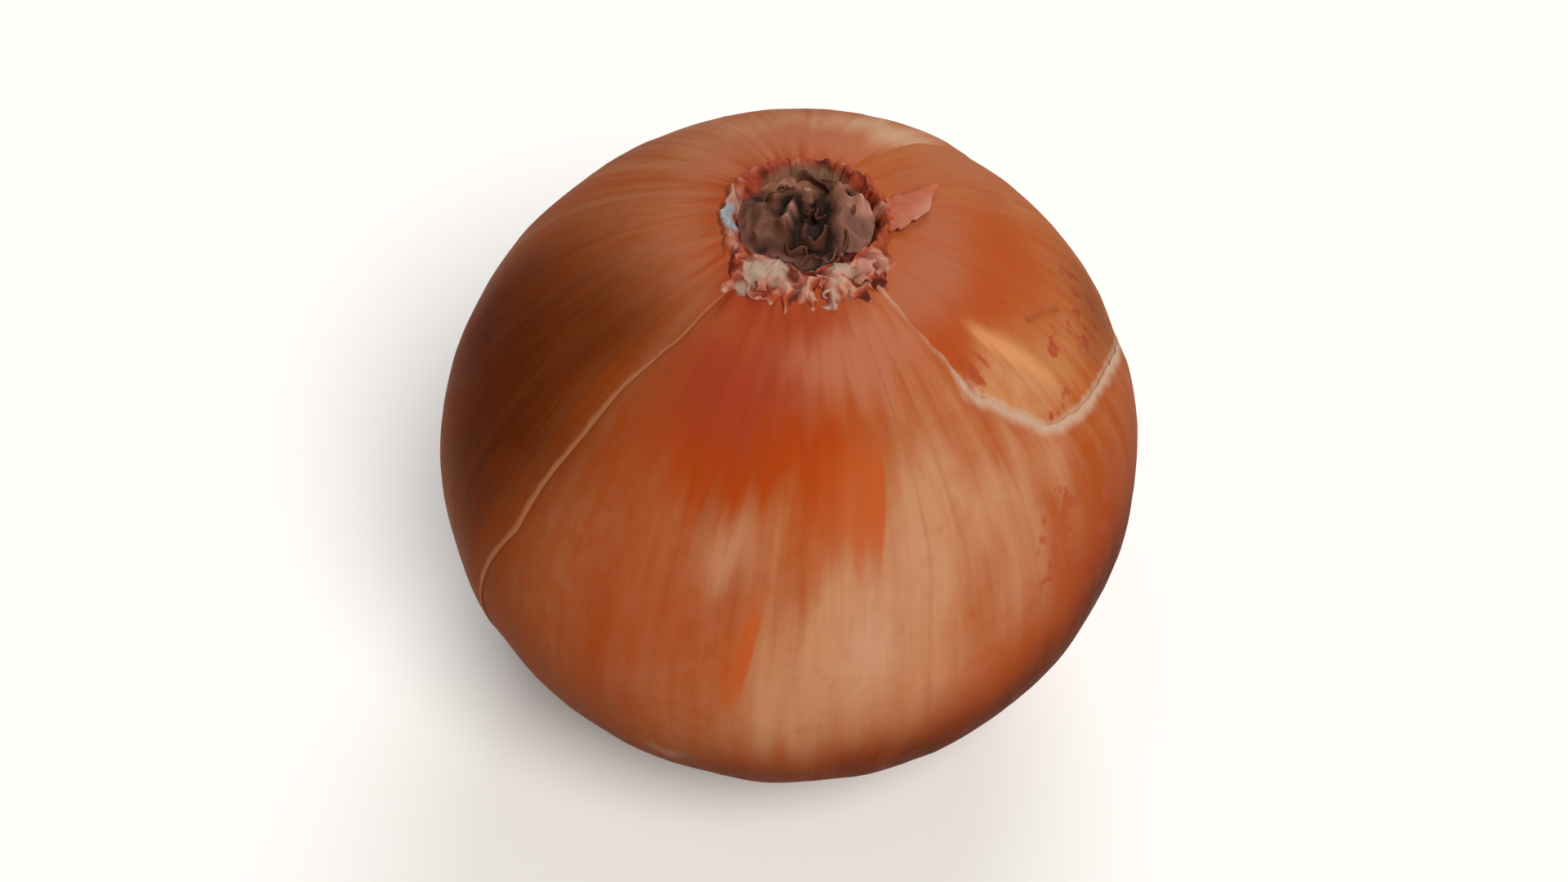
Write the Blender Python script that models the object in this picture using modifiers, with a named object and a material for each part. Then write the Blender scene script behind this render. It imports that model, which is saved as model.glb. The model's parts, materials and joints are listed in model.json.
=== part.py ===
"""A brown-skinned onion that stands on its base, in metres with +Z up.

The origin lies on the surface that the onion stands on, under the middle of the bulb. An angle called turn
runs round the bulb from its front, which is -Y, towards +X. An angle called fall runs from the neck, at 0,
down to the base, at 180. A lift is a height above the bulb's own surface. All angles are in degrees.
"""

import math
import random

import bmesh
import bpy
from mathutils import Vector

# Bulb
BULB_RADIUS = 0.0412
HALF_HEIGHT = 0.0384
BASE_CUT = 0.0014
MIDDLE = HALF_HEIGHT - BASE_CUT
OVALITY = 0.004
OVAL_TURN = 60
RIB_HEIGHT = 0.005
NECK_SHIFT = Vector((0.0019, -0.0005, 0))
AROUND = 60

# Pit in the top, where the neck dried, and dimple in the base, where the roots grew
PIT_RIM, PIT_FOOT, PIT_DEPTH = 0.0084, 0.0066, 0.0030
DIMPLE_RIM, DIMPLE_FOOT, DIMPLE_DEPTH = 0.0082, 0.0074, 0.0024
CLEARANCE = 0.0003
SEAM_MERGE = 0.00001

# Torn outer skin, whose free edge laps over its own far end
SKIN_GAP, SKIN_THICKNESS = 0.00035, 0.0006
SKIN_START, SKIN_END = 15.2, 156
LAP_LIFT = SKIN_THICKNESS + 0.0003
LAP_DEGREES, LAP_FADE = 7, 80
LAP_EDGE = (
    (0, -38), (17, -39), (31, -44), (49, -48), (69, -51), (80, -55), (93, -58), (120, -63), (180, -70),
)
BARE_PATCH = (
    (43, 6), (43.5, 20), (43, 33), (45.5, 41), (52, 47.5), (58, 53), (70, 57.5), (80, 60.5), (91, 65.5),
    (104, 70), (118, 71), (130, 66), (138, 55), (143, 40), (146, 25), (147, 6),
)

# Frill of torn skin ends round the neck
RING_INNER, RING_OUTER, RING_HEIGHT = 0.0078, 0.0102, 0.0013
TATTERS = 34
TATTER_ROOT = 0.0088
TATTER_THICKNESS = 0.0007
TAB_ROOT, TAB_LENGTH, TAB_HALF_WIDTH = 0.0092, 0.0072, 0.0027
TAB_TURN, TAB_BEND = 93, 22

# Shrivelled leaf ends in the neck, each (turn and distance of its middle from the neck, sweep, height)
CORE_TOP_RADIUS, CORE_FOOT_RADIUS, CORE_HEIGHT = 0.0074, 0.0060, 0.0016
LEAF_THICKNESS = 0.0008
LEAF_FOLDS = (
    (95, 0.0052, 150, 0.0030), (200, 0.0055, 120, 0.0026), (-70, 0.0050, 130, 0.0025),
    (60, 0.0028, 170, 0.0027), (-110, 0.0026, 150, 0.0024), (10, 0.0056, 90, 0.0014),
)
SLIVERS = ((150, 0.0022, 0.0046), (-60, 0.0016, 0.0042))

# Root plate and its trimmed roots
PLATE_RADIUS, PLATE_THICKNESS = 0.0068, 0.0012
ROOT_RADIUS, ROOT_SIDES, ROOT_SPLAY, ROOT_SUNK = 0.00045, 5, 0.0006, 0.0008
ROOT_RINGS = ((0.0024, 7), (0.0042, 12), (0.0058, 17))
FLOOR_GAP = 0.0004

rng = random.Random(14)


def smooth_step(value):
    """0 below 0, 1 above 1, and an even slope between."""
    value = min(1, max(0, value))
    return value * value * (3 - 2 * value)


def grown(point):
    """Moves a point of the evenly turned onion to its place on the real one: oval, ribbed and off centre."""
    height = (point.z - MIDDLE) / HALF_HEIGHT
    belt = max(0, 1 - height * height)
    turn = math.atan2(point.x, -point.y)
    oval = OVALITY * math.cos(2 * (turn - math.radians(OVAL_TURN)))
    ribs = RIB_HEIGHT * (math.cos(13 * turn + 0.4) + math.cos(19 * turn + 2)) / 2
    swell = 1 + belt * (oval + ribs)
    shift = NECK_SHIFT * smooth_step(height)
    return Vector((point.x * swell + shift.x, point.y * swell + shift.y, point.z))


def profile_point(fall, lift=0):
    """Distance from the axis and height of a point on the evenly turned bulb."""
    down = math.radians(fall)
    outward = Vector((math.sin(down) / BULB_RADIUS, math.cos(down) / HALF_HEIGHT)).normalized()
    return (
        BULB_RADIUS * math.sin(down) + lift * outward.x,
        MIDDLE + HALF_HEIGHT * math.cos(down) + lift * outward.y,
    )


def on_bulb(turn, fall, lift=0):
    """A point of the grown bulb's surface, raised by lift."""
    distance, height = profile_point(fall, lift)
    round_angle = math.radians(turn)
    return grown(Vector((distance * math.sin(round_angle), -distance * math.cos(round_angle), height)))


def by_neck(turn, distance, lift=0):
    """A point of the top, at this distance from the neck's middle."""
    return on_bulb(turn, math.degrees(math.asin(distance / BULB_RADIUS)), lift)


def along(table, where):
    """The value at a place between the rows of a table of (place, value)."""
    for (start, low), (end, high) in zip(table, table[1:]):
        if where <= end:
            return low + (high - low) * (where - start) / (end - start)
    return table[-1][1]


def skin_lift(degrees_behind_edge):
    """Lift of the outer skin's inside: it climbs over its own far end just before its free edge."""
    return SKIN_GAP + LAP_LIFT * (1 - smooth_step((degrees_behind_edge - 1.5 * LAP_DEGREES) / LAP_FADE))


def clear_of_skin(turn, fall):
    """The least lift that keeps a thing above the outer skin here."""
    behind = (along(LAP_EDGE, fall) - turn) % 360
    return skin_lift(behind) + SKIN_THICKNESS + CLEARANCE


def material(name, colour, roughness):
    made = bpy.data.materials.new(name)
    made.use_nodes = True
    shader = made.node_tree.nodes["Principled BSDF"]
    shader.inputs["Base Color"].default_value = (*colour, 1)
    shader.inputs["Roughness"].default_value = roughness
    made.diffuse_color = (*colour, 1)
    return made


def add_object(name, mesh, collection, finish=None):
    made = bpy.data.objects.new(name, mesh)
    collection.objects.link(made)
    if finish:
        mesh.materials.append(finish)
    return made


def settle(thing):
    """Gives the object the mesh that its modifiers make, and clears them."""
    graph = bpy.context.evaluated_depsgraph_get()
    mesh = bpy.data.meshes.new_from_object(thing.evaluated_get(graph))
    thing.modifiers.clear()
    thing.data = mesh
    return thing


def turned(name, profile, steps, collection, closed=False, finish=None):
    """A profile of (distance, height) points turned about Z. An open one starts and ends on the axis."""
    mesh = bpy.data.meshes.new(name)
    edges = [(i, i + 1) for i in range(len(profile) - 1)]
    if closed:
        edges.append((len(profile) - 1, 0))
    mesh.from_pydata([(distance, 0, height) for distance, height in profile], edges, [])
    thing = add_object(name, mesh, collection, finish)
    screw = thing.modifiers.new("turn", "SCREW")
    screw.steps = screw.render_steps = steps
    screw.use_merge_vertices = True
    screw.merge_threshold = SEAM_MERGE
    settle(thing)
    shape = bmesh.new()
    shape.from_mesh(thing.data)
    bmesh.ops.recalc_face_normals(shape, faces=shape.faces)
    shape.to_mesh(thing.data)
    shape.free()
    return thing


def sheet(name, across, down, place, collection, thickness, finish=None):
    """A thin sheet: a grid whose points (u, v), from 0 to 1, go where place says, thickened outwards."""
    grid = bmesh.new()
    bmesh.ops.create_grid(grid, x_segments=across, y_segments=down, size=1)
    for corner in grid.verts:
        corner.co = place((corner.co.x + 1) / 2, (corner.co.y + 1) / 2)
    bmesh.ops.triangulate(grid, faces=grid.faces)
    mesh = bpy.data.meshes.new(name)
    grid.to_mesh(mesh)
    grid.free()
    thing = add_object(name, mesh, collection, finish)
    thicken = thing.modifiers.new("thicken", "SOLIDIFY")
    thicken.thickness = thickness
    thicken.offset = 1
    return settle(thing)


def fuse(body, pieces):
    """Joins a collection of overlapping pieces to the body in one union, and removes them."""
    union = body.modifiers.new("fuse", "BOOLEAN")
    union.operation = "UNION"
    union.operand_type = "COLLECTION"
    union.collection = pieces
    settle(body)
    for piece in list(pieces.objects):
        bpy.data.objects.remove(piece)
    bpy.data.collections.remove(pieces)
    return body


def side_collection(name):
    made = bpy.data.collections.new(name)
    bpy.context.scene.collection.children.link(made)
    return made


def make_bulb(collection):
    """The fleshy bulb in its inner skin: one turned body with a pit for the neck and a root dimple."""
    rim_fall = math.degrees(math.asin(PIT_RIM / BULB_RADIUS))
    foot_fall = 180 - math.degrees(math.acos(MIDDLE / HALF_HEIGHT))
    rings = 26
    flank = [profile_point(rim_fall + (foot_fall - rim_fall) * i / rings) for i in range(rings)]
    pit_floor = flank[0][1] - PIT_DEPTH
    flat_edge = (BULB_RADIUS * math.sin(math.radians(foot_fall)), 0)
    profile = [(0, pit_floor), (PIT_FOOT, pit_floor), *flank, flat_edge]
    profile += [(DIMPLE_RIM, 0), (DIMPLE_FOOT, DIMPLE_DEPTH), (0, DIMPLE_DEPTH)]
    bulb = turned("bulb", profile, AROUND, collection, finish=material("inner skin", (0.50, 0.24, 0.08), 0.4))
    for corner in bulb.data.vertices:
        corner.co = grown(corner.co)
    return bulb, pit_floor


def bare_patch_cutter():
    """A cone from inside the bulb out through the place where the outer skin is torn away."""
    cutters = side_collection("cutters")
    core = Vector((0, 0, MIDDLE))
    rim = [on_bulb(turn, fall) - core for turn, fall in BARE_PATCH]
    near, far = 0.3, 2.4
    cone = bmesh.new()
    inner = [cone.verts.new(core + near * point) for point in rim]
    bottom = cone.faces.new(inner)
    grown_out = bmesh.ops.extrude_face_region(cone, geom=[bottom], use_keep_orig=True)
    for part in grown_out["geom"]:
        if isinstance(part, bmesh.types.BMVert):
            part.co = core + (part.co - core) * far / near
    bmesh.ops.recalc_face_normals(cone, faces=cone.faces)
    mesh = bpy.data.meshes.new("bare patch")
    cone.to_mesh(mesh)
    cone.free()
    cutter = add_object("bare_patch_cutter", mesh, cutters)
    cutter.hide_render = True
    cutter.display_type = "WIRE"
    return cutter


def make_outer_skin(collection):
    """The torn dry scale: it starts at its free edge, goes once round the bulb, and ends under that edge."""

    def place(u, v):
        fall = SKIN_START + (SKIN_END - SKIN_START) * v
        behind = (360 + LAP_DEGREES) * u
        return on_bulb(along(LAP_EDGE, fall) - behind, fall, skin_lift(behind))

    skin = sheet(
        "outer_skin", AROUND, 20, place, collection, SKIN_THICKNESS,
        finish=material("outer skin", (0.62, 0.22, 0.05), 0.35),
    )
    cut = skin.modifiers.new("bare patch", "BOOLEAN")
    cut.operation = "DIFFERENCE"
    cut.object = bare_patch_cutter()
    return skin


def make_tatter(index, pieces):
    """One torn skin end, rooted in the ring. Those in front curl down over the shoulder, the others stand."""
    turn = 360 * (index + rng.uniform(-0.25, 0.25)) / TATTERS
    facing = smooth_step(1.3 * math.cos(math.radians(turn - 5)) - 0.1)
    reach = 0.0010 + facing * rng.uniform(0.0018, 0.0036)
    rise = 0.0013 - 0.0003 * facing + rng.uniform(0, 0.0007)
    half_width = rng.uniform(0.0007, 0.0012)
    twist = rng.uniform(-12, 12)
    root_lift = 0.0003 + 0.0004 * (index % 2)

    def place(u, v):
        distance = TATTER_ROOT + reach * u
        taper = half_width * (1 - 0.65 * u * u)
        here = turn + twist * u + math.degrees(taper * (2 * v - 1) / distance)
        curl = math.sin(math.pi * u * (0.5 + 0.45 * facing))
        lift = root_lift + rise * curl
        if distance > RING_OUTER - 0.0002:
            lift = max(lift, clear_of_skin(here, math.degrees(math.asin(distance / BULB_RADIUS))))
        return by_neck(here, distance, lift)

    sheet(f"tatter_{index}", 4, 1, place, pieces, TATTER_THICKNESS)


def make_tab(pieces):
    """The pointed scrap of outer skin that is left on the bare patch, to the right of the neck."""

    def place(u, v):
        distance = TAB_ROOT + TAB_LENGTH * u
        half_width = TAB_HALF_WIDTH * (1 - u) ** 0.8 + 0.0005
        over = math.degrees(half_width * (2 * v - 1) / distance)
        curl = 0.0008 * u * u
        return by_neck(TAB_TURN + TAB_BEND * u + over, distance, 0.0005 + curl)

    sheet("tab", 6, 2, place, pieces, TATTER_THICKNESS)


def make_frill(collection):
    """The frill: a ring of torn tissue on the rim of the pit, with its tatters fused to it."""
    ring_width = RING_OUTER - RING_INNER
    section = (
        (0, CLEARANCE), (0, 0.8 * RING_HEIGHT), (0.4, RING_HEIGHT), (0.8, 0.9 * RING_HEIGHT), (1, CLEARANCE),
    )
    profile = []
    for share, lift in section:
        distance = RING_INNER + share * ring_width
        fall = math.degrees(math.asin(distance / BULB_RADIUS))
        profile.append((distance, profile_point(fall)[1] + lift))
    frill = turned(
        "neck_frill", profile, AROUND, collection, closed=True,
        finish=material("torn skin ends", (0.66, 0.42, 0.30), 0.6),
    )
    for corner in frill.data.vertices:
        corner.co = grown(corner.co)
    pieces = side_collection("frill pieces")
    for index in range(TATTERS):
        make_tatter(index, pieces)
    make_tab(pieces)
    return fuse(frill, pieces)


def make_neck_core(collection, pit_floor):
    """The dark plug in the pit: a crumpled cushion with the shrivelled ends of inner leaves standing in it."""
    foot = pit_floor + CLEARANCE
    crest = foot + CORE_HEIGHT
    profile = [(0, crest), (0.0025, crest + 0.0002), (0.005, crest), (CORE_TOP_RADIUS, crest - 0.0002)]
    profile += [(CORE_FOOT_RADIUS, foot), (0, foot)]
    core = turned(
        "neck_core", profile, 30, collection, finish=material("dried neck", (0.09, 0.06, 0.05), 0.8)
    )
    for corner in core.data.vertices:
        corner.co = grown(corner.co)
    pieces = side_collection("neck pieces")

    def stand(turn, distance, height):
        angle = math.radians(turn)
        return grown(Vector((distance * math.sin(angle), -distance * math.cos(angle), height)))

    for index, (turn, distance, sweep, height) in enumerate(LEAF_FOLDS):

        def fold(u, v):
            wave = 0.0004 * math.sin(9 * u + index) * v
            lean = -0.0006 * v * v
            top = height * (0.75 + 0.25 * math.sin(math.pi * u)) * (1 + 0.12 * math.sin(17 * u + 2 * index))
            return stand(turn + sweep * (u - 0.5), distance + wave + lean, foot + 0.0006 + top * v)

        sheet(f"fold_{index}", 8, 2, fold, pieces, LEAF_THICKNESS)
    for index, (turn, distance, height) in enumerate(SLIVERS):

        def sliver(u, v):
            half_width = 0.0007 * (1 - 0.6 * u)
            over = math.degrees(half_width * (2 * v - 1) / distance)
            return stand(turn + over, distance - 0.0004 * u, foot + 0.0008 + height * u)

        sheet(f"sliver_{index}", 4, 1, sliver, pieces, LEAF_THICKNESS)
    return fuse(core, pieces)


def make_root_plate(collection):
    """The corky plate in the base's dimple, with the stubs of its trimmed roots."""
    top = DIMPLE_DEPTH - CLEARANCE
    under = top - PLATE_THICKNESS
    profile = [(0, top), (0.92 * PLATE_RADIUS, top), (PLATE_RADIUS, top - 0.4 * PLATE_THICKNESS)]
    profile += [(0.8 * PLATE_RADIUS, under), (0, under)]
    plate = turned(
        "root_plate", profile, 30, collection, finish=material("dried roots", (0.48, 0.36, 0.22), 0.85)
    )
    pieces = side_collection("root pieces")
    for distance, count in ROOT_RINGS:
        for index in range(count):
            angle = math.radians(360 * (index + rng.uniform(-0.2, 0.2)) / count)
            stub = bmesh.new()
            depth = under + ROOT_SUNK - FLOOR_GAP
            bmesh.ops.create_cone(
                stub, cap_ends=True, segments=ROOT_SIDES, depth=depth,
                radius1=0.7 * ROOT_RADIUS, radius2=ROOT_RADIUS,
            )
            outward = Vector((math.sin(angle), -math.cos(angle), 0))
            middle = outward * distance + Vector((0, 0, FLOOR_GAP + depth / 2))
            for corner in stub.verts:
                splay = ROOT_SPLAY * (0.5 - corner.co.z / depth)
                corner.co += middle + outward * splay
            mesh = bpy.data.meshes.new("root")
            stub.to_mesh(mesh)
            stub.free()
            add_object(f"root_{distance * 1000:.0f}_{index}", mesh, pieces)
    return fuse(plate, pieces)


def main():
    for old in list(bpy.data.objects):
        bpy.data.objects.remove(old)
    onion = side_collection("onion")
    bulb, pit_floor = make_bulb(onion)
    make_outer_skin(onion)
    make_frill(onion)
    make_neck_core(onion, pit_floor)
    make_root_plate(onion)
    for thing in onion.objects:
        thing.data.shade_smooth()
        thing.data.set_sharp_from_angle(angle=math.radians(50))


main()
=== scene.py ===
# %% [markdown]
# # Dressing a brown onion
#
# The onion comes to this lesson as five plain bodies at their real size: the bulb, its outer skin, the
# frill round its neck, the shrivelled leaf ends in the neck, and the root plate. Each makes room for one
# or more finer pieces. Lengths are in metres with +Z up, and the front of the onion faces -Y. A place on
# the bulb is given by two angles in degrees: turn, round the bulb from the front towards +X, and fall, from
# the neck (0) down to the base (180), with a lift above the bulb's surface.

# %% The frame and its size
import json
import math

import bmesh
import bpy
import numpy as np
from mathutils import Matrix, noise

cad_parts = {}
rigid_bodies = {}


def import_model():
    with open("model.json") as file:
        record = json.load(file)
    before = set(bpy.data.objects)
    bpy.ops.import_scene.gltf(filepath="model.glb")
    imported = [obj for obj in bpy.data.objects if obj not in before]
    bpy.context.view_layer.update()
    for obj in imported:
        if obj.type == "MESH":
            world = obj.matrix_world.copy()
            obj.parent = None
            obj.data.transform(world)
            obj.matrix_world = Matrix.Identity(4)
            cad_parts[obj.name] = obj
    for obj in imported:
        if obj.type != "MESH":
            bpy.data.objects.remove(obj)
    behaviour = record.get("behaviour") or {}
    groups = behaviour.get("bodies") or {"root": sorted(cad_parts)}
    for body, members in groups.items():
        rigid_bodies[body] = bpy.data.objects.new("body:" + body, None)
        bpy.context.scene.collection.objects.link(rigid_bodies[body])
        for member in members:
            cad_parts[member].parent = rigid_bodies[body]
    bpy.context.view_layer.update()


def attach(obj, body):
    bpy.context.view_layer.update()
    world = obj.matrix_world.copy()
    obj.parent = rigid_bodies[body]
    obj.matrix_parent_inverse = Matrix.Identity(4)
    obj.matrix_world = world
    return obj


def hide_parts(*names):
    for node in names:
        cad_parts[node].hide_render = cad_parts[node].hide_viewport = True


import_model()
MM = 0.001

# %% [markdown]
# ## The bulb as a formula
#
# A bulb grows in rings, so it is nearly an ellipsoid, a little oval, with low ribs and a neck that stands
# off centre. One formula gives any point of it. It could also be sculpted, but a formula lets every other
# piece ask where the bulb's surface is and lie on it exactly.

# %% Points of the bulb's surface
RADIUS, HALF_HEIGHT, MIDDLE = 41.2 * MM, 38.4 * MM, 37.0 * MM
OVALITY, OVAL_TURN = 0.004, 60
RIB_HEIGHT, RIBS = 0.003, ((13.0, 0.4), (19.0, 2.0))  # how many go round, and where they start
NECK_SHIFT = (1.9 * MM, -0.5 * MM)
DEGREE_OF_FALL = 0.7 * MM  # one degree of fall, measured along the skin


def smooth(value):
    """0 below 0, 1 above 1, and an even slope between."""
    value = np.clip(value, 0, 1)
    return value * value * (3 - 2 * value)


def bell(gap, reach):
    """1 where the gap is 0, fading softly to nothing at about twice this reach."""
    return np.exp(-((gap / reach) ** 2))


def degrees_past(turn, middle):
    """How far a turn is past the middle one, from -180 to 180 degrees."""
    return (turn - middle + 180) % 360 - 180


def grown(distance, turn, height):
    """The point at this distance from the axis, oval, ribbed and off centre as the onion grew."""
    level = (height - MIDDLE) / HALF_HEIGHT
    angle = np.radians(turn)
    oval = OVALITY * np.cos(2 * (angle - math.radians(OVAL_TURN)))
    ribs = RIB_HEIGHT * sum(np.cos(count * angle + start) for count, start in RIBS) / 2
    swell = 1 + np.maximum(0, 1 - level**2) * (oval + ribs)
    across = distance * np.sin(angle) * swell + NECK_SHIFT[0] * smooth(level)
    along = -distance * np.cos(angle) * swell + NECK_SHIFT[1] * smooth(level)
    return np.stack([across, along, height + 0 * across], axis=-1)


def on_bulb(turn, fall, lift=0.0):
    """Points of the bulb, raised by lift along its normal."""
    down = np.radians(fall)
    outward = np.stack([np.sin(down) / RADIUS, np.cos(down) / HALF_HEIGHT])
    outward /= np.linalg.norm(outward, axis=0)
    distance = RADIUS * np.sin(down) + lift * outward[0]
    height = MIDDLE + HALF_HEIGHT * np.cos(down) + lift * outward[1]
    return grown(distance, turn, height)


def fall_at(distance):
    """The fall of the shoulder at this distance from the neck's middle."""
    return np.degrees(np.arcsin(distance / RADIUS))


def place_of(points):
    """The turn and fall of points near the surface."""
    level = (points[..., 2] - MIDDLE) / HALF_HEIGHT
    across = points[..., 0] - NECK_SHIFT[0] * smooth(level)
    along = points[..., 1] - NECK_SHIFT[1] * smooth(level)
    turn = np.degrees(np.arctan2(across, -along))
    return turn, np.degrees(np.arctan2(np.hypot(across, along) / RADIUS, level))


def hills(points, size, octaves=3, shift=0.0):
    """Smooth random hills of about this size at each point, mostly from -0.6 to 0.6."""
    spots = (points.reshape(-1, 3) / size + shift).tolist()
    heights = [noise.fractal(spot, 1.0, 2.0, octaves) for spot in spots]
    return np.array(heights).reshape(points.shape[:-1])


print("equator point in mm:", np.round(on_bulb(90, 90) / MM, 2))

# %% [markdown]
# ## From points to pieces
#
# Thin skins are grids of points with a face in each gap, thickened by a Solidify modifier so that they have
# two sides and a closed rim. Numbers that a finish needs later, such as the distance from a torn edge, go
# into the mesh as attributes.

# %% Grids, attributes and finished meshes
def placed(name, data):
    """A new object in the scene, made of this mesh, lamp or lens."""
    made = bpy.data.objects.new(name, data)
    bpy.context.scene.collection.objects.link(made)
    return made


def grid_piece(name, points, wrap=False):
    """A mesh of rows and columns of points, which faces out where rows go down and columns go right."""
    rows, columns = points.shape[:2]
    index = np.arange(rows * columns).reshape(rows, columns)
    if wrap:
        index = np.concatenate([index, index[:, :1]], axis=1)
    corners = (index[:-1, :-1], index[1:, :-1], index[1:, 1:], index[:-1, 1:])
    mesh = bpy.data.meshes.new(name)
    mesh.from_pydata(points.reshape(-1, 3).tolist(), [], np.stack(corners, -1).reshape(-1, 4).tolist())
    return placed(name, mesh)


def keep_values(piece, **values):
    """Stores a number, or a vector, for each point of the mesh."""
    for name, numbers in values.items():
        vector = numbers.size == 3 * len(piece.data.vertices)
        kind, key = ("FLOAT_VECTOR", "vector") if vector else ("FLOAT", "value")
        store = piece.data.attributes.new(name, kind, "POINT")
        store.data.foreach_set(key, np.ascontiguousarray(numbers, dtype=np.float32).ravel())


def corners_of(piece):
    """The mesh's points as an array."""
    points = np.zeros(3 * len(piece.data.vertices))
    piece.data.vertices.foreach_get("co", points)
    return points.reshape(-1, 3)


def values_of(piece, name):
    """The numbers that the mesh keeps under this name."""
    numbers = np.zeros(len(piece.data.vertices))
    piece.data.attributes[name].data.foreach_get("value", numbers)
    return numbers


def plain(piece):
    """Gives the piece the mesh that its modifiers make, and removes them."""
    graph = bpy.context.evaluated_depsgraph_get()
    mesh = bpy.data.meshes.new_from_object(piece.evaluated_get(graph))
    piece.modifiers.clear()
    piece.data = mesh
    return piece


def thicken(piece, thickness):
    """Gives a sheet its thickness, inwards from the side that shows."""
    wall = piece.modifiers.new("thickness", "SOLIDIFY")
    wall.thickness = thickness
    wall.offset = -1
    return plain(piece)


def weld(piece, gap=0.01 * MM):
    """Merges doubled points and turns every face outwards."""
    shape = bmesh.new()
    shape.from_mesh(piece.data)
    bmesh.ops.remove_doubles(shape, verts=shape.verts, dist=gap)
    bmesh.ops.recalc_face_normals(shape, faces=shape.faces)
    shape.to_mesh(piece.data)
    shape.free()
    return piece


def hand_in(piece, node, finish):
    """The piece takes its finish, its node's place and its body."""
    piece.data.materials.clear()
    piece.data.materials.append(finish)
    piece.data.shade_smooth()
    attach(piece, "root")
    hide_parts(node)
    triangles = sum(len(face.vertices) - 2 for face in piece.data.polygons)
    print(piece.name, "has", triangles, "triangles")


# %% [markdown]
# ## Nodes and colours
#
# Every material and every Geometry Nodes tree below is built with one small function, which adds a node,
# sets it and links it. Colours are written as the hex values that a paint chart would give, and one function
# turns them into the linear values that light is added up in.


# %% One function for nodes and one for colours
SOFT_RAMP = {"interpolation_type": "SMOOTHSTEP"}  # a Map Range with rounded ends


def add(tree, kind, inputs=(), result=0, **settings):
    """Adds a node with its settings, fills its inputs with values or outputs, and returns an output."""
    made = tree.nodes.new(kind)
    for name, value in settings.items():
        setattr(made, name, value)
    for key, value in inputs.items() if isinstance(inputs, dict) else enumerate(inputs):
        if isinstance(value, bpy.types.NodeSocket):
            tree.links.new(value, made.inputs[key])
        else:
            made.inputs[key].default_value = value
    return made.outputs[result]


def colour(hex_value):
    """An sRGB hex value, such as "c8713a", as linear red, green, blue and alpha."""
    # the sRGB curve is a straight foot with a power above it
    parts = [int(hex_value[i : i + 2], 16) / 255 for i in (0, 2, 4)]
    return (*[part / 12.92 if part <= 0.04045 else ((part + 0.055) / 1.055) ** 2.4 for part in parts], 1)


def new_finish(name, roughness, ior):
    """A material with its tree and its main shader."""
    made = bpy.data.materials.new(name)
    made.use_nodes = True
    shader = made.node_tree.nodes["Principled BSDF"]
    shader.inputs["Roughness"].default_value = roughness
    shader.inputs["IOR"].default_value = ior
    return made, made.node_tree, shader


# %% [markdown]
# ## Papery skin as a material
#
# A brown onion's outer scales are dead leaf bases, dried to a few hundredths of a millimetre. Quercetin
# turns them orange-brown, and long fibres and veins run through them from neck to base. So the finish is
# built in the same order: a ground between orange and peach, streaked along the fibres, then soft stains
# and patches of painted shade and sheen where the mesh says so, then dark veins. The surface is dry and
# shows hardly any gloss. The patterns read the attribute grain, a place on the skin in mm: two numbers
# round the bulb and one along the fibres.

# %% The skin's patterns
SKIN_PATTERNS = (
    # name, mm across the fibres, mm along them, detail
    ("broad", 6.0, 60.0, 2.0),
    ("streak", 2.2, 34.0, 3.0),
    ("fibre", 0.55, 14.0, 2.0),
    ("cloud", 9.0, 11.0, 4.0),
    ("mottle", 2.0, 2.4, 4.0),
)
PALE_MIX = (("broad", 1.0), ("streak", 1.1), ("fibre", 0.2), ("cloud", 0.8), ("mottle", 0.6))
ROSY_MIX = (("mottle", 1.2), ("cloud", 1.0), ("streak", -0.6))
STAIN_MIX = (("streak", 0.9), ("cloud", 0.8), ("mottle", 0.4))
BLOT_MIX = (("mottle", 3.6), ("cloud", 1.2))
EVEN_MIX = (("streak", 0.45), ("cloud", 0.55))
RELIEF_MIX = (("fibre", 0.25), ("streak", 0.8), ("mottle", 0.18))


def skin_patterns(tree):
    """The noises of the skin, by name, long along the fibres."""
    grain = add(tree, "ShaderNodeAttribute", result="Vector", attribute_name="grain")
    patterns = {}
    for name, across, along, detail in SKIN_PATTERNS:
        scale = (1 / across, 1 / across, 1 / along)
        place = add(tree, "ShaderNodeVectorMath", (grain, scale), operation="MULTIPLY")
        patterns[name] = add(tree, "ShaderNodeTexNoise", {"Vector": place, "Scale": 1.0, "Detail": detail})
    return patterns


def blend_of(tree, patterns, mix, start=0.0):
    """A weighted sum of patterns, 0 on average, on top of a starting value."""
    for name, share in mix:
        middle = add(tree, "ShaderNodeMath", (patterns[name], 0.5), operation="SUBTRACT")
        start = add(tree, "ShaderNodeMath", (middle, share, start), operation="MULTIPLY_ADD")
    return start


def lay_over(tree, under, layers):
    """Lays colours over a ground, one after the other, each by its amount."""
    for hex_value, amount in layers:
        over = colour(hex_value)
        under = add(tree, "ShaderNodeMix", {0: amount, 6: under, 7: over}, result=2, data_type="RGBA")
    return under


# %% The skin's finish
SCALE_ROUGHNESS, SCALE_IOR, SCALE_GLOSS = 0.5, 1.47, 0.01
# where a stain starts, where it is full, and what breaks it up
SOFT_STAIN = (-0.1, 1.7, STAIN_MIX)
SHARP_STAIN = (0.46, 0.66, BLOT_MIX)
EVEN_STAIN = (-0.1, 1.6, EVEN_MIX)
CLEAR_STAIN = (0.0, 1.1, EVEN_MIX)


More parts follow.
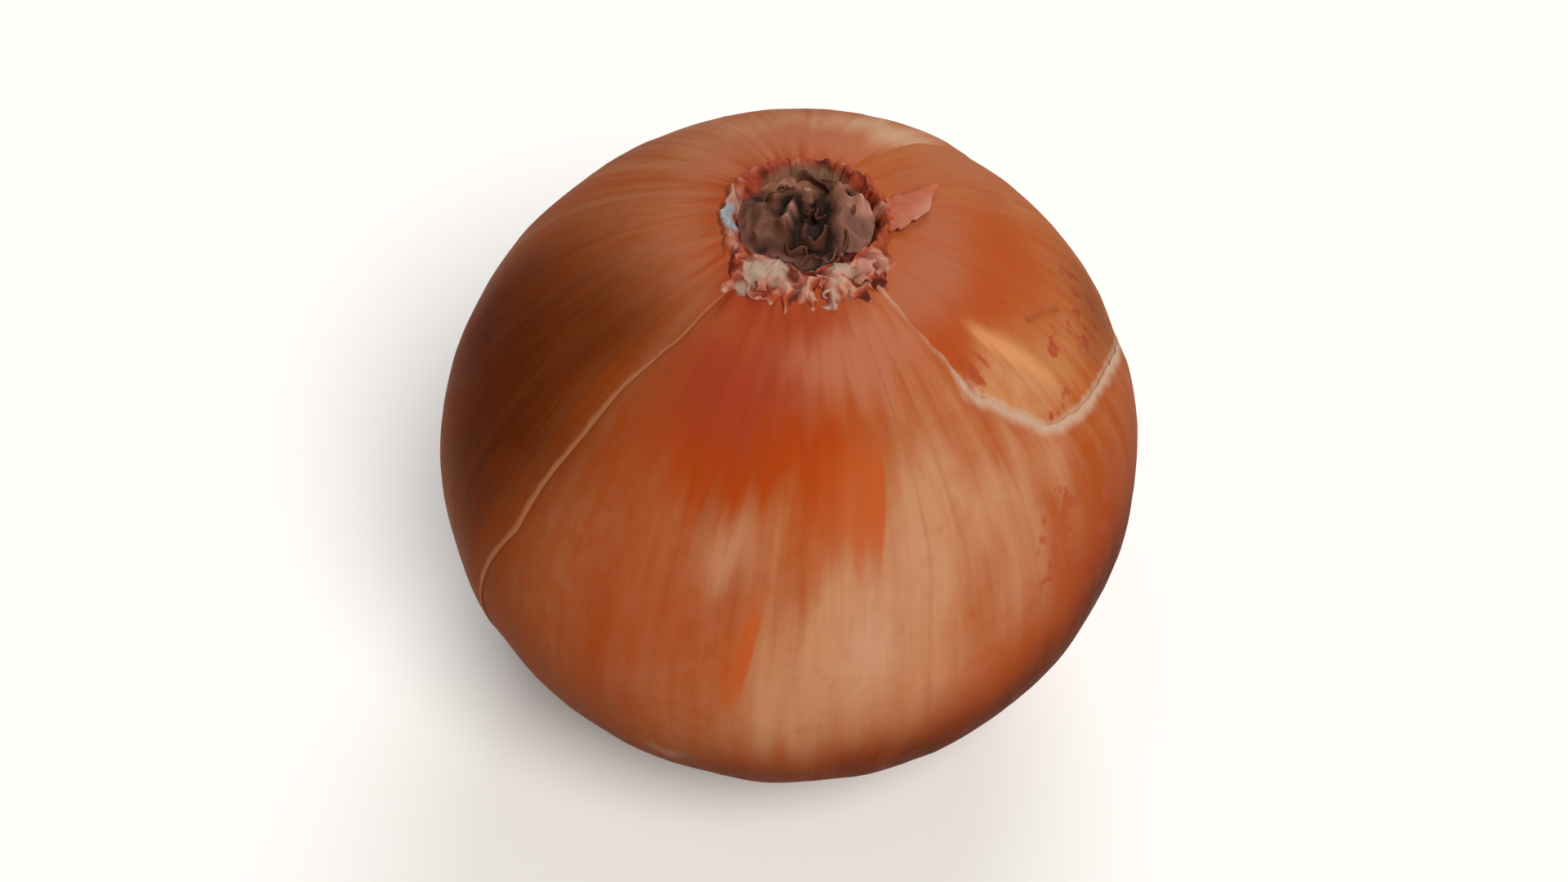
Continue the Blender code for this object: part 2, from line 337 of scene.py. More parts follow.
def skin_finish(name, palette, stains):
    """Dry scale leaf: ground, streaks, stains, veins and fibres."""
    made, tree, shader = new_finish(name, SCALE_ROUGHNESS, SCALE_IOR)
    shader.inputs["Specular IOR Level"].default_value = SCALE_GLOSS
    patterns = skin_patterns(tree)
    pale = add(tree, "ShaderNodeAttribute", result="Fac", attribute_name="pale")
    # peach and rosy streaks over the ground, then the stains, each by the value of its name
    lighter = blend_of(tree, patterns, PALE_MIX, pale)
    lighter = add(tree, "ShaderNodeMapRange", (lighter, -0.35, 1.15), **SOFT_RAMP)
    rosy = blend_of(tree, patterns, ROSY_MIX)
    rosy = add(tree, "ShaderNodeMapRange", (rosy, -0.1, 0.55, 0.0, 0.5), **SOFT_RAMP)
    layers = [(palette["light"], lighter), (palette["rosy"], rosy)]
    for stain, hex_value, (low, high, mix) in stains:
        strength = add(tree, "ShaderNodeAttribute", result="Fac", attribute_name=stain)
        uneven = blend_of(tree, patterns, mix, 1.0)
        amount = add(tree, "ShaderNodeMath", (strength, uneven), operation="MULTIPLY")
        amount = add(tree, "ShaderNodeMapRange", (amount, low, high), **SOFT_RAMP)
        layers.append((hex_value, amount))

    # veins are dark where their value is near 0, and some parts show them more than others
    vein = add(tree, "ShaderNodeAttribute", result="Fac", attribute_name="vein")
    vein = add(tree, "ShaderNodeMath", (vein,), operation="ABSOLUTE")
    vein = add(tree, "ShaderNodeMath", (patterns["mottle"], -0.2, vein), operation="MULTIPLY_ADD")
    vein = add(tree, "ShaderNodeMapRange", (vein, -0.1, 0.3, 1.0, 0.0), **SOFT_RAMP)
    shown = blend_of(tree, patterns, (("cloud", 1.0), ("broad", 1.4)))
    shown = add(tree, "ShaderNodeMapRange", (shown, -0.1, 0.3, 0.02, 0.18), **SOFT_RAMP)
    layers.append((palette["vein"], add(tree, "ShaderNodeMath", (vein, shown), operation="MULTIPLY")))
    fine = (patterns["fibre"], 0.5, 0.74, 0.0, 0.12)
    layers.append((palette["fibre"], add(tree, "ShaderNodeMapRange", fine, **SOFT_RAMP)))

    # the surface: a little smoother and rougher by turns, with low relief along the fibres
    dull = (patterns["mottle"], 0.25, 0.75, SCALE_ROUGHNESS - 0.07, SCALE_ROUGHNESS + 0.1)
    bump = {"Height": blend_of(tree, patterns, RELIEF_MIX), "Strength": 0.22, "Distance": 0.25 * MM}
    tree.links.new(lay_over(tree, colour(palette["ground"]), layers), shader.inputs["Base Color"])
    tree.links.new(add(tree, "ShaderNodeMapRange", dull), shader.inputs["Roughness"])
    tree.links.new(add(tree, "ShaderNodeBump", bump), shader.inputs["Normal"])
    return made, patterns


# %% [markdown]
# ## Strokes of colour
#
# Sun, soil and the pull of the drying neck stain each onion in its own way. These broad marks are too big
# and too particular for noise, so they are laid on as a painter would lay them: each stroke has a place, a
# half width and a half length in millimetres, and a strength. The finish breaks them up along the fibres.
# The same strokes also lay painted shade and a painted sheen.


# %% How a stroke covers the skin
def mm_round(degrees, fall):
    """How many mm this many degrees of turn are at this fall."""
    return np.radians(degrees) * RADIUS / MM * np.sin(np.radians(fall))


def paint(turn, fall, strokes):
    """How strongly soft strokes, each (turn, fall, half width, half length, strength), cover each place."""
    cover = np.zeros(np.broadcast(turn, fall).shape)
    for at_turn, at_fall, wide, long, strength in strokes:
        aside = mm_round(degrees_past(turn, at_turn), fall)
        down = (fall - at_fall) * DEGREE_OF_FALL / MM
        cover += strength * bell(aside, wide) * bell(down, long)
    return cover


def grain_of(turn, fall):
    """The place on the skin in mm: two numbers round the bulb and one along the fibres."""
    angle = np.radians(turn)
    around, down = RADIUS / MM, 0 * angle + fall * DEGREE_OF_FALL / MM
    return np.stack([around * np.sin(angle), -around * np.cos(angle), down], axis=-1)


VEINS, VEIN_WIDTH = 36, 0.25


def vein_field(turn, fall, shift=0.0):
    """A value that is 0 on the veins, which run from neck to base."""
    wander = 1.1 * hills(grain_of(turn, 0), 11.0, 2, shift)
    wander += 0.3 * hills(grain_of(turn, 0.35 * fall), 9.0, 2, shift)
    return np.sin(math.pi * (turn / 360 * VEINS + wander))


print("veins are", round(2 * math.pi * RADIUS / VEINS / MM, 1), "mm apart at the belly")


# %% [markdown]
# ## The bulb in its inner skin
#
# The fleshy bulb shows only through the torn patch and underneath, but it is the body that everything lies
# on. Its outline is a line of points from the pit in the neck, down the flank, to the dimple of the roots. A
# Geometry Nodes tree turns that line round the axis: a grid's two directions become the turn and the way
# along the outline, and the ribs and the oval come from the same formula as above. A Screw modifier would
# turn the line too, but not make it oval.

# %% The half outline
PIT_RIM, PIT_FOOT, PIT_DEPTH = 8.4 * MM, 6.6 * MM, 3.0 * MM
DIMPLE_RIM, DIMPLE_FOOT, DIMPLE_DEPTH = 8.2 * MM, 7.4 * MM, 2.4 * MM
foot_fall = 180 - math.degrees(math.acos(MIDDLE / HALF_HEIGHT))
flank_falls = np.linspace(fall_at(PIT_RIM), foot_fall, 120)
flank = [(RADIUS * math.sin(f), MIDDLE + HALF_HEIGHT * math.cos(f)) for f in np.radians(flank_falls)]
pit_floor = flank[0][1] - PIT_DEPTH
outline = [(0, pit_floor), (PIT_FOOT, pit_floor), *flank]
outline += [(DIMPLE_RIM, 0), (DIMPLE_FOOT, DIMPLE_DEPTH), (0, DIMPLE_DEPTH)]
print("pit floor at", round(pit_floor / MM, 2), "mm")


# %% A tree that turns an outline
AROUND, ALONG = 300, 170  # points round the bulb and along its outline


def new_tree(name, **sizes):
    """A Geometry Nodes tree, its input sockets by name, with one for each size or count, and its output."""
    tree = bpy.data.node_groups.new(name, "GeometryNodeTree")
    tree.interface.new_socket("Geometry", in_out="OUTPUT", socket_type="NodeSocketGeometry")
    tree.interface.new_socket("Geometry", in_out="INPUT", socket_type="NodeSocketGeometry")
    for label, value in sizes.items():
        kind = "NodeSocketInt" if isinstance(value, int) else "NodeSocketFloat"
        tree.interface.new_socket(label, in_out="INPUT", socket_type=kind).default_value = value
    given, result = tree.nodes.new("NodeGroupInput"), tree.nodes.new("NodeGroupOutput")
    return tree, given.outputs, result.inputs[0]


def run_tree(piece, tree, **sizes):
    """Runs the tree on the piece with these sizes, set by each input's identifier, and keeps the result."""
    modifier = piece.modifiers.new(tree.name, "NODES")
    modifier.node_group = tree
    for item in tree.interface.items_tree:
        if item.in_out == "INPUT" and item.name in sizes:
            modifier[item.identifier] = sizes[item.name]
    return plain(piece)


def turning_tree(finish):
    """Turns an outline of (distance, 0, height) points round Z, oval and ribbed."""
    sizes = {"Around": AROUND, "Along": ALONG, "Rib_Height": RIB_HEIGHT, "Ovality": OVALITY}
    tree, given, result = new_tree("turned bulb", **sizes)
    counts = {"Vertices X": given["Around"], "Vertices Y": given["Along"]}
    share = add(tree, "GeometryNodeMeshGrid", counts, result="UV Map")
    grid = share.node.outputs["Mesh"]
    around = add(tree, "ShaderNodeSeparateXYZ", (share,))
    turn = add(tree, "ShaderNodeMath", (around, 2 * math.pi), operation="MULTIPLY")
    line = add(tree, "GeometryNodeMeshToCurve", (given["Geometry"],))
    spot = {"Curves": line, "Factor": around.node.outputs[1]}
    spot = add(tree, "GeometryNodeSampleCurve", spot, result="Position", mode="FACTOR")
    distance = add(tree, "ShaderNodeSeparateXYZ", (spot,))
    known = {"turn": turn, "distance": distance, "height": distance.node.outputs[2]}
    known |= {"oval height": given["Ovality"], "rib height": given["Rib_Height"]}
    steps = (
        ("level", "MULTIPLY_ADD", "height", 1 / HALF_HEIGHT, -MIDDLE / HALF_HEIGHT),
        ("square", "MULTIPLY", "level", "level"),
        ("inside", "SUBTRACT", 1.0, "square"),
        ("belt", "MAXIMUM", "inside", 0.0),
        ("twice", "MULTIPLY_ADD", "turn", 2.0, -2 * math.radians(OVAL_TURN)),
        ("oval", "COSINE", "twice"),
        ("oval", "MULTIPLY", "oval", "oval height"),
        ("wide", "MULTIPLY_ADD", "turn", *RIBS[0]),
        ("wide", "COSINE", "wide"),
        ("narrow", "MULTIPLY_ADD", "turn", *RIBS[1]),
        ("narrow", "COSINE", "narrow"),
        ("ribs", "ADD", "wide", "narrow"),
        ("ribs", "MULTIPLY", "ribs", 0.5),
        ("ribs", "MULTIPLY_ADD", "ribs", "rib height", "oval"),
        ("swell", "MULTIPLY_ADD", "belt", "ribs", 1.0),
        ("reach", "MULTIPLY", "distance", "swell"),
        ("sine", "SINE", "turn"),
        ("cosine", "COSINE", "turn"),
        ("across", "MULTIPLY", "reach", "sine"),
        ("back", "MULTIPLY", "reach", "cosine"),
    )
    for name, operation, *values in steps:
        inputs = [known.get(value, value) for value in values]
        known[name] = add(tree, "ShaderNodeMath", inputs, operation=operation)
    lean = add(tree, "ShaderNodeMapRange", (known["level"],), **SOFT_RAMP)
    corner = add(tree, "ShaderNodeCombineXYZ", (known["across"], known["back"], known["height"]))
    upright = add(tree, "ShaderNodeVectorMath", (corner, (1, -1, 1)), operation="MULTIPLY")
    shift = add(tree, "ShaderNodeVectorMath", {0: (*NECK_SHIFT, 0), "Scale": lean}, operation="SCALE")
    place = add(tree, "ShaderNodeVectorMath", (upright, shift), operation="ADD")
    moved = add(tree, "GeometryNodeSetPosition", {"Geometry": grid, "Position": place})
    closed = add(tree, "GeometryNodeMergeByDistance", {"Geometry": moved, "Distance": 0.02 * MM})
    whole = add(tree, "GeometryNodeRealizeInstances", (closed,))
    coated = add(tree, "GeometryNodeSetMaterial", {"Geometry": whole, "Material": finish})
    tree.links.new(coated, result)
    return tree


# %% [markdown]
# The inner skin is fresher than the outer one: tan and yellowish where it faces the air, with reddish maps
# and blotches and a thin dark scratch. A long pale streak on it is a painted highlight, a pale patch high at
# the back of the bare patch a painted sheen, and two soft patches low in it and its foot by the roots
# painted shade. Where the outer skin is torn away the inner one has dried in the open and stands a third of
# a millimetre prouder, as a thin layer of scale does.

# %% The bulb's body
inner_finish, inner_patterns = skin_finish(
    "onion inner scale, dried",
    {"ground": "a85422", "light": "bb8458", "rosy": "ac5c38", "vein": "7e3812", "fibre": "94501f"},
    (
        ("red_maps", "a54820", SOFT_STAIN),
        ("red_blots", "a2482c", SHARP_STAIN),
        ("haze", "a86144", SOFT_STAIN),
        # a painted highlight
        ("pale_streak", "cc8a5e", CLEAR_STAIN),
        # the scratch, and painted shade
        ("shade", "5e3014", EVEN_STAIN),
    ),
)
line = bpy.data.meshes.new("outline")
links = [(start, start + 1) for start in range(len(outline) - 1)]
line.from_pydata([(distance, 0, height) for distance, height in outline], links, [])
bulb = placed("bulb_inner_skin", line)
run_tree(bulb, turning_tree(inner_finish), Around=AROUND, Along=ALONG)
weld(bulb, 0.005 * MM)

# %% Its bare patch, veins and waves
WINDOW_MIDDLE = 95  # the turn of the middle of the torn patch
BARE_RISE, INNER_VEIN_RISE, INNER_WAVES = 0.3 * MM, 0.05 * MM, 0.08 * MM
points = corners_of(bulb)
turn, fall = place_of(points)
# the relief ends before the neck's rim and the foot, and the rise covers the patch alone
on_flank = smooth((fall - 12) / 3) * smooth((foot_fall - 2 - fall) / 6)
in_window = smooth((118 - np.abs(turn - WINDOW_MIDDLE)) / 30) * smooth((95 - fall) / 20)
vein = vein_field(turn, fall, 31.0)
relief = INNER_VEIN_RISE * bell(vein, VEIN_WIDTH) + INNER_WAVES * hills(grain_of(turn, 0.3 * fall), 9.0, 2)
lift = on_flank * (BARE_RISE * in_window + relief)
outward = points - np.array([0, 0, MIDDLE])
outward /= np.linalg.norm(outward, axis=1, keepdims=True)
points += outward * lift[:, None]
bulb.data.vertices.foreach_set("co", points.ravel())
print("bare patch stands up to", round(float(lift.max() / MM), 2), "mm proud")

# %% Its own stains
RED_MAPS = (
    (43, 31, 3, 4, 1.2), (46, 34, 2, 2.0, 0.6), (66, 30, 8, 4, 1.0), (80, 40, 7, 6, 0.8),
    (105, 32, 9, 6, 0.9), (71, 22, 8, 3, 1.1), (125, 40, 8, 7, 0.6), (95, 18, 14, 3, 0.9),
    (52, 24, 6, 4, 1.0),
)
INNER_BLOTS = (
    (44, 37, 3, 4, 0.7), (72, 44, 4, 4, 0.55), (62, 51, 4, 2.0, 0.5), (62, 34, 5, 3, 0.4),
    (84, 52, 5, 5, 0.45), (100, 50, 8, 8, 0.4),
)
# the last row, high at the back of the bare patch, is a painted sheen
INNER_PALE = (
    (50, 41, 7, 5, 1.0), (62, 47, 8, 4, 0.5), (78, 44, 6, 4, 0.3), (55, 30, 3, 4, 0.3),
    (124, 35, 7, 6, 0.8),
)
# the last row, high at the back of the bare patch, is a painted sheen
INNER_HAZE = (
    (46, 20, 6, 4, 0.9), (60, 23, 7, 4, 0.7), (82, 22, 8, 4, 0.6), (112, 20, 9, 4, 0.8),
    (128, 34, 7, 6, 0.8),
)
# a painted highlight: a long pale glint across the bare patch
PALE_STREAK = (
    (57.5, 33, 0.8, 2.5, 0.9), (60, 37.5, 1.0, 3.0, 1.0), (62.5, 42, 0.9, 3.0, 0.9),
    (64.5, 46, 0.7, 2.0, 0.6),
)
INNER_SCRATCH_AND_SHADE = (
    # a thin scratch in six short strokes, then two soft patches of painted shade low in the patch
    (72.3, 38.1, 0.55, 0.45, 0.8), (74.2, 39.1, 0.55, 0.45, 0.8), (76.4, 40.0, 0.55, 0.45, 0.8),
    (78.4, 41.0, 0.55, 0.45, 0.8), (80.6, 42.2, 0.55, 0.45, 0.8), (81.8, 43.5, 0.55, 0.45, 0.8),
    (96, 58, 9, 9, 0.8), (80, 54, 4, 3, 0.3),
)
print(len(INNER_SCRATCH_AND_SHADE) + len(PALE_STREAK), "fine strokes")
# painted shade: darker towards the roots
by_roots = smooth((fall - 150) / 16) * smooth((176 - fall) / 8)
keep_values(
    bulb,
    grain=grain_of(turn, fall),
    vein=vein,
    pale=paint(turn, fall, INNER_PALE),
    haze=paint(turn, fall, INNER_HAZE),
    red_maps=paint(turn, fall, RED_MAPS),
    red_blots=paint(turn, fall, INNER_BLOTS),
    pale_streak=paint(turn, fall, PALE_STREAK),
    shade=1.2 * by_roots + paint(turn, fall, INNER_SCRATCH_AND_SHADE),
)

# %% [markdown]
# ## The torn outer skin
#
# One dry scale wraps the whole bulb. It starts at a free edge on the left, goes once round and ends under
# that edge. On the right of the neck a tongue of it has been pulled off. The sheet is a grid bent round the
# bulb. Its torn outline is a smooth closed curve through a few places, roughened as paper tears. Each point
# of the grid gets its distance from that curve, the mesh is split where the distance is zero, and what lies
# inside is removed. A Boolean would cut it too, but leave long thin triangles that catch the light.

# %% Where the skin laps and where it is torn
LAP_EDGE = (
    # fall and turn of the free edge, from the neck down
    (0, -38), (17, -39), (23, -41), (28, -42), (31, -44), (39, -47), (48, -48), (59, -50), (69, -51),
    (74, -53), (80, -55), (92, -58), (120, -63), (180, -70),
)
TORN_EDGE = (
    # turn and fall, down the near side and up the far side
    (41, 4), (41.2, 17.3), (40.4, 20.3), (40.7, 25.8), (42.8, 30.2), (43.3, 35.6), (43.9, 37.9),
    (46.2, 40.2), (51.1, 45.3), (55.3, 50.3), (58.3, 51.9), (62.8, 53.5), (67.6, 55.0), (73.0, 56.3),
    (78.7, 58.1), (84.8, 60.8), (91, 64.5), (97, 69.5), (104, 74), (113, 76), (123, 74), (132, 66),
    (139, 55), (143, 40), (146, 25), (147, 4),
)
SKIN_LIFT, SKIN_THICKNESS = 0.95 * MM, 0.2 * MM
SKIN_START, SKIN_END = 12.6, 156.0  # from this fall to this one
LAP_TURN, LAP_RISE, LAP_CURL, LAP_SINK = 7.0, 0.17 * MM, 0.04 * MM, 0.12 * MM
SKIN_VEIN_RISE, SKIN_WAVES = 0.035 * MM, 0.13 * MM
PLEATS, PLEAT_HEIGHT = 44, 0.09 * MM
TEAR_ROUGHNESS, DRAPE_REACH = 0.35, 2.6  # in mm


def curve_through(places, between=40):
    """A smooth closed curve through the places (Catmull-Rom)."""
    knots = np.array(places, float)
    share = np.linspace(0, 1, between, endpoint=False)[:, None]
    before, after, beyond = (np.roll(knots, shift, axis=0) for shift in (1, -1, -2))
    spans = []
    for a, b, c, d in zip(before, knots, after, beyond):
        bend, twist = 2 * a - 5 * b + 4 * c - d, 3 * b - a - 3 * c + d
        spans.append(0.5 * (2 * b + (c - a) * share + bend * share**2 + twist * share**3))
    return np.concatenate(spans)


def inside(turn, fall, curve):
    """Whether each place lies inside the closed curve, by counting crossings."""
    crossings = np.zeros(turn.shape, bool)
    for (t0, f0), (t1, f1) in zip(curve, np.roll(curve, -1, axis=0)):
        if f0 != f1:
            crossings ^= ((f0 > fall) != (f1 > fall)) & (turn < (t1 - t0) * (fall - f0) / (f1 - f0) + t0)
    return crossings


def distance_from(points, curve_points):
    """How far each point is from the nearest point of a curve."""
    nearest = np.full(len(points), np.inf)
    for start in range(0, len(curve_points), 50):
        gaps = np.linalg.norm(points[:, None] - curve_points[None, start : start + 50], axis=2)
        nearest = np.minimum(nearest, gaps.min(axis=1))
    return nearest


# %% The sheet's points
# each row starts at the free edge, so behind counts the degrees back from it
behind, fall = np.meshgrid(np.linspace(360 + LAP_TURN, 0, 361), np.linspace(SKIN_START, SKIN_END, 118))
turn = np.interp(fall, *zip(*LAP_EDGE)) - behind
around_mm = mm_round(behind, fall)
grain = grain_of(turn, fall)
vein = vein_field(turn, fall)
# the lap rises over its last 24 mm, its edge curls over 1.6 mm, and the far end sinks below it
lap_share = smooth((fall - 15) / 8) * (1 - 0.4 * smooth((fall - 130) / 20))
lift = SKIN_LIFT + LAP_RISE * lap_share * (1 - smooth(around_mm / 24))
lift += LAP_CURL * lap_share * (1 - smooth(around_mm / 1.6)) * (0.6 + 1.2 * hills(grain, 7.0, 2, 5.0))
lift -= LAP_SINK * smooth((behind - 359) / 4)
lift += SKIN_VEIN_RISE * bell(vein, VEIN_WIDTH) * smooth((fall - 16) / 10)
lift += SKIN_WAVES * hills(grain_of(turn, 0.35 * fall), 8.0, 2, 2.0)
pleat = np.cos(np.radians(turn) * PLEATS + 5 * hills(grain_of(turn, 0.2 * fall), 12.0, 2))
lift += PLEAT_HEIGHT * pleat * np.exp(-((fall - 12) / 7))

# %% The distance from the tear, and how the skin lies down beside it
torn_curve = curve_through(TORN_EDGE)
window_turn = WINDOW_MIDDLE + degrees_past(turn, WINDOW_MIDDLE)
flat_points = on_bulb(turn, fall, 0).reshape(-1, 3)
tear = distance_from(flat_points, on_bulb(torn_curve[:, 0], torn_curve[:, 1])).reshape(turn.shape) / MM
tear = np.where(inside(window_turn, fall, torn_curve), -tear, tear)
tear += TEAR_ROUGHNESS * hills(flat_points, 1.6 * MM, 3, 9.0).reshape(turn.shape)
# beside the tear the skin comes down to rest just above the inner one
drape = bell(tear, DRAPE_REACH)
rest = 0.34 + 0.16 * smooth((115 - window_turn) / 25)
rest = (rest + 0.06 * hills(flat_points, 2.0 * MM, 2).reshape(turn.shape)) * MM
lift = lift * (1 - drape) + rest * drape
print("torn curve has", len(torn_curve), "points")


# %% [markdown]
# To cut the window, every edge of the grid whose ends have distances of opposite sign is split at the place
# where the distance would be zero. Each face that now has two such new corners is split between them.


# %% Cutting along a value
def cut_away(piece, name):
    """Removes the part of the mesh where the named value is negative, with a clean edge where it is zero."""
    shape = bmesh.new()
    shape.from_mesh(piece.data)
    value = shape.verts.layers.float[name]
    crossing = [e for e in shape.edges if e.verts[0][value] * e.verts[1][value] < 0]
    fresh = {}  # a dictionary keeps its order, so each run gives the same faces in the same order
    for edge in crossing:
        start, end = edge.verts
        share = start[value] / (start[value] - end[value])
        made = bmesh.utils.edge_split(edge, start, min(0.97, max(0.03, share)))[1]
        made[value] = 0
        fresh[made] = share
    for face in list(dict.fromkeys(face for corner in fresh for face in corner.link_faces)):
        ends = [corner for corner in face.verts if corner in fresh]
        if len(ends) == 2:
            bmesh.utils.face_split(face, ends[0], ends[1])
    gone = [f for f in shape.faces if sum(corner[value] for corner in f.verts) < 0]
    bmesh.ops.delete(shape, geom=gone, context="FACES")
    loose = [corner for corner in shape.verts if not corner.link_faces]
    bmesh.ops.delete(shape, geom=loose, context="VERTS")
    shape.to_mesh(piece.data)
    shape.free()
    return piece


# %% [markdown]
# Next come the stains, read off the real onion. Deep orange lies in front, crimson and a pink haze above it,
# and peach below. Painted shade darkens the left side, where the skin is also a duller brown, the right and
# lower edges, and the lower third all round; low on the right, deep orange deepens that painted shade. Bloom
# is the chalky film of the palest places, and at the top right a painted sheen. The blots are small reddish
# maps on the right. A stroke's row is turn, fall, half width and half length in mm, and strength.

# %% The skin's stains
# peach; the row at turn 150, fall 34, is a painted sheen high on the right
PALE = (
    (23, 54, 5, 7, 1.1), (36, 52, 6, 5, 0.8), (22, 85, 9, 12, 0.4), (9, 70, 6, 6, 1.2),
    (-12, 52, 4, 4, 0.7), (38, 66, 7, 6, 0.6), (0, 92, 10, 7, 0.5), (2, 80, 8, 8, 0.7),
    (180, 27, 14, 5, 0.6), (150, 34, 7, 6, 1.1), (-20, 104, 3, 2, 0.7), (18, 70, 7, 12, 0.3),
    (56, 52, 6, 4, 0.5), (-120, 30, 20, 8, 0.2), (-160, 70, 8, 20, 0.5), (140, 80, 6, 20, 0.4),
    (-115, 95, 6, 20, 0.4), (85, 85, 5, 14, 0.3),
)
# deep orange; its rows from fall 85 down, on the right and along the bottom edge, are painted shade
DEEP = (
    (-8, 40, 5, 4, 1.0), (-13, 38, 7, 4, 0.7), (3, 42, 5, 5, 0.9), (5.5, 50, 1.6, 8, 0.9),
    (-7, 47, 1.6, 6, 0.4), (-22, 45, 3, 6, 0.8), (-33, 41, 8, 7, 0.8), (-19, 64, 3, 7, 0.5),
    (-30, 74, 6, 9, 0.75), (-9, 73, 2, 5, 0.4), (14, 38, 5, 4, 0.4), (37, 46, 4, 3, 0.3),
    (170, 22, 9, 3, 0.6), (50, 72, 6, 7, 0.6), (39, 88, 8, 5, 0.5), (56, 85, 7, 7, 0.4),
    (28, 90, 8, 6, 0.3), (68, 88, 14, 14, 0.9), (34, 102, 18, 9, 0.8), (10, 106, 20, 6, 0.6),
)
CRIMSON = (
    (-15, 30, 6, 6, 1.0), (-28, 31, 6, 7, 1.0), (-2, 29, 5, 5, 0.5), (-33, 17, 4, 3, 0.9),
    (0, 19, 7, 2, 0.6), (5, 21, 4, 2.5, 0.7), (-14, 63, 3, 4, 0.25), (-27, 90, 6, 5, 0.5),
    (-20, 78, 4, 8, 0.3), (-45, 49, 3, 3, 0.3), (170, 20, 8, 2, 0.4), (-32, 60, 7, 9, 0.35),
    (-9, 62, 3, 5, 0.3),
)
HAZE = (
    (23, 27, 5, 3.5, 1.0), (13, 26, 4.5, 3, 0.8), (0, 27, 3, 2.5, 0.4), (30, 24, 4, 4, 0.7),
    (14, 31, 4, 2.5, 0.4), (-78, 20, 5, 3, 0.7), (-120, 22, 10, 4, 0.7), (-165, 21, 12, 4, 0.8),
    (160, 20, 7, 4, 0.8), (-10, 26, 5, 3, 0.3), (-60, 24, 4, 4, 0.5), (-90, 30, 8, 4, 0.3),
)
# painted shade: the left side, where the skin is also a duller brown, the right and lower edges and the back
# of the belly, with a thin painted shadow under the free edge beside the neck
SHADE = (
    (-76, 50, 17, 12, 0.8), (-62, 66, 8, 12, 0.55), (-95, 64, 16, 16, 0.6), (-18, 50, 1.0, 6, 0.3),
    (60, 100, 26, 13, 0.3), (38, 107, 22, 10, 0.55), (66, 93, 17, 14, 0.7), (90, 84, 20, 16, 0.4),
    (6, 114, 34, 8, 0.45), (-92, 56, 8, 12, 0.3), (-72, 73, 9, 10, 0.5), (-50, 86, 18, 13, 0.5),
    (-80, 32, 12, 8, 0.45), (-58, 30, 6, 8, 0.4), (-37.3, 19, 0.5, 2.5, 0.5), (-55, 50, 10, 12, 0.3),
    (-170, 110, 60, 12, 0.5), (-140, 50, 7, 16, 0.25), (165, 60, 4, 14, 0.3),
)
# the first row is a painted sheen high on the right; the rest is the chalky film of the palest places
BLOOM_AND_SHEEN = (
    (150, 32, 8, 4, 1.1), (12, 75, 3.5, 8, 0.6), (20, 60, 3, 6, 0.4), (-20, 103, 2, 1.5, 0.9),
    (-12, 55, 2, 4, 0.3), (-150, 60, 5, 14, 0.5), (-110, 80, 4, 14, 0.4), (178, 70, 4, 14, 0.5),
    (120, 95, 4, 12, 0.4), (35, 72, 3, 7, 0.3),
)
RED_BLOTS = (
    (52, 62, 5, 5, 0.5), (46, 72, 5, 6, 0.45), (33, 80, 4, 6, 0.45), (60, 76, 5, 6, 0.45),
    (66, 66, 4, 5, 0.4), (120, 90, 14, 12, 0.4), (-150, 80, 12, 16, 0.35),
)
print(sum(len(rows) for rows in (PALE, DEEP, CRIMSON, HAZE, SHADE, BLOOM_AND_SHEEN, RED_BLOTS)), "strokes")

# %% [markdown]
# Two tongues of deep orange fade on one side and end at a sharp line on the other, where a thin upper layer
# has split along its fibres. Each is two values in the mesh: how strong the tongue is, and how far a place
# lies from its sharp side.

# %% Tongues with a sharp side
TONGUES = (
    # top and low end (turn, fall) of the sharp side, and width in mm
    ((16.3, 46.6), (14.4, 57.7), 7.0),
    ((-6.0, 70.5), (-7.4, 81.7), 2.4),
)


def tongue_values(number, turn, fall, running):
    """How strong a tongue is at each place, and how far in mm the place is left of its sharp side."""
    (top_turn, top), (low_turn, low), width = TONGUES[number]
    share, faded = (fall - top) / (low - top), (running - top) / (low - top)
    edge_turn = top_turn + (low_turn - top_turn) * np.clip(share, -1, 2)
    left = mm_round(degrees_past(edge_turn, turn), fall)
    strength = smooth((faded + 0.9) / 0.8) * smooth((1.5 - faded) / 1.0)
    strength *= bell(np.maximum(left, 0), width)
    return {f"tongue_{number}": strength, f"tongue_side_{number}": np.maximum(left, -9)}


# %% The skin's mesh and what it carries
skin = grid_piece("outer_skin_torn", on_bulb(turn, fall, lift))
# stains run out along the fibres, some farther than others
running = fall + (3 + 4 * smooth((fall - 26) / 22)) * hills(grain_of(turn, 0.05 * fall), 3.4, 3, 4.0)
by_neck = 1 - smooth((running - 12) / 8)
# painted shade: the lower third darker all round
belly = 0.65 * smooth((fall - 78) / 32) + 0.45 * smooth((fall - 110) / 22)
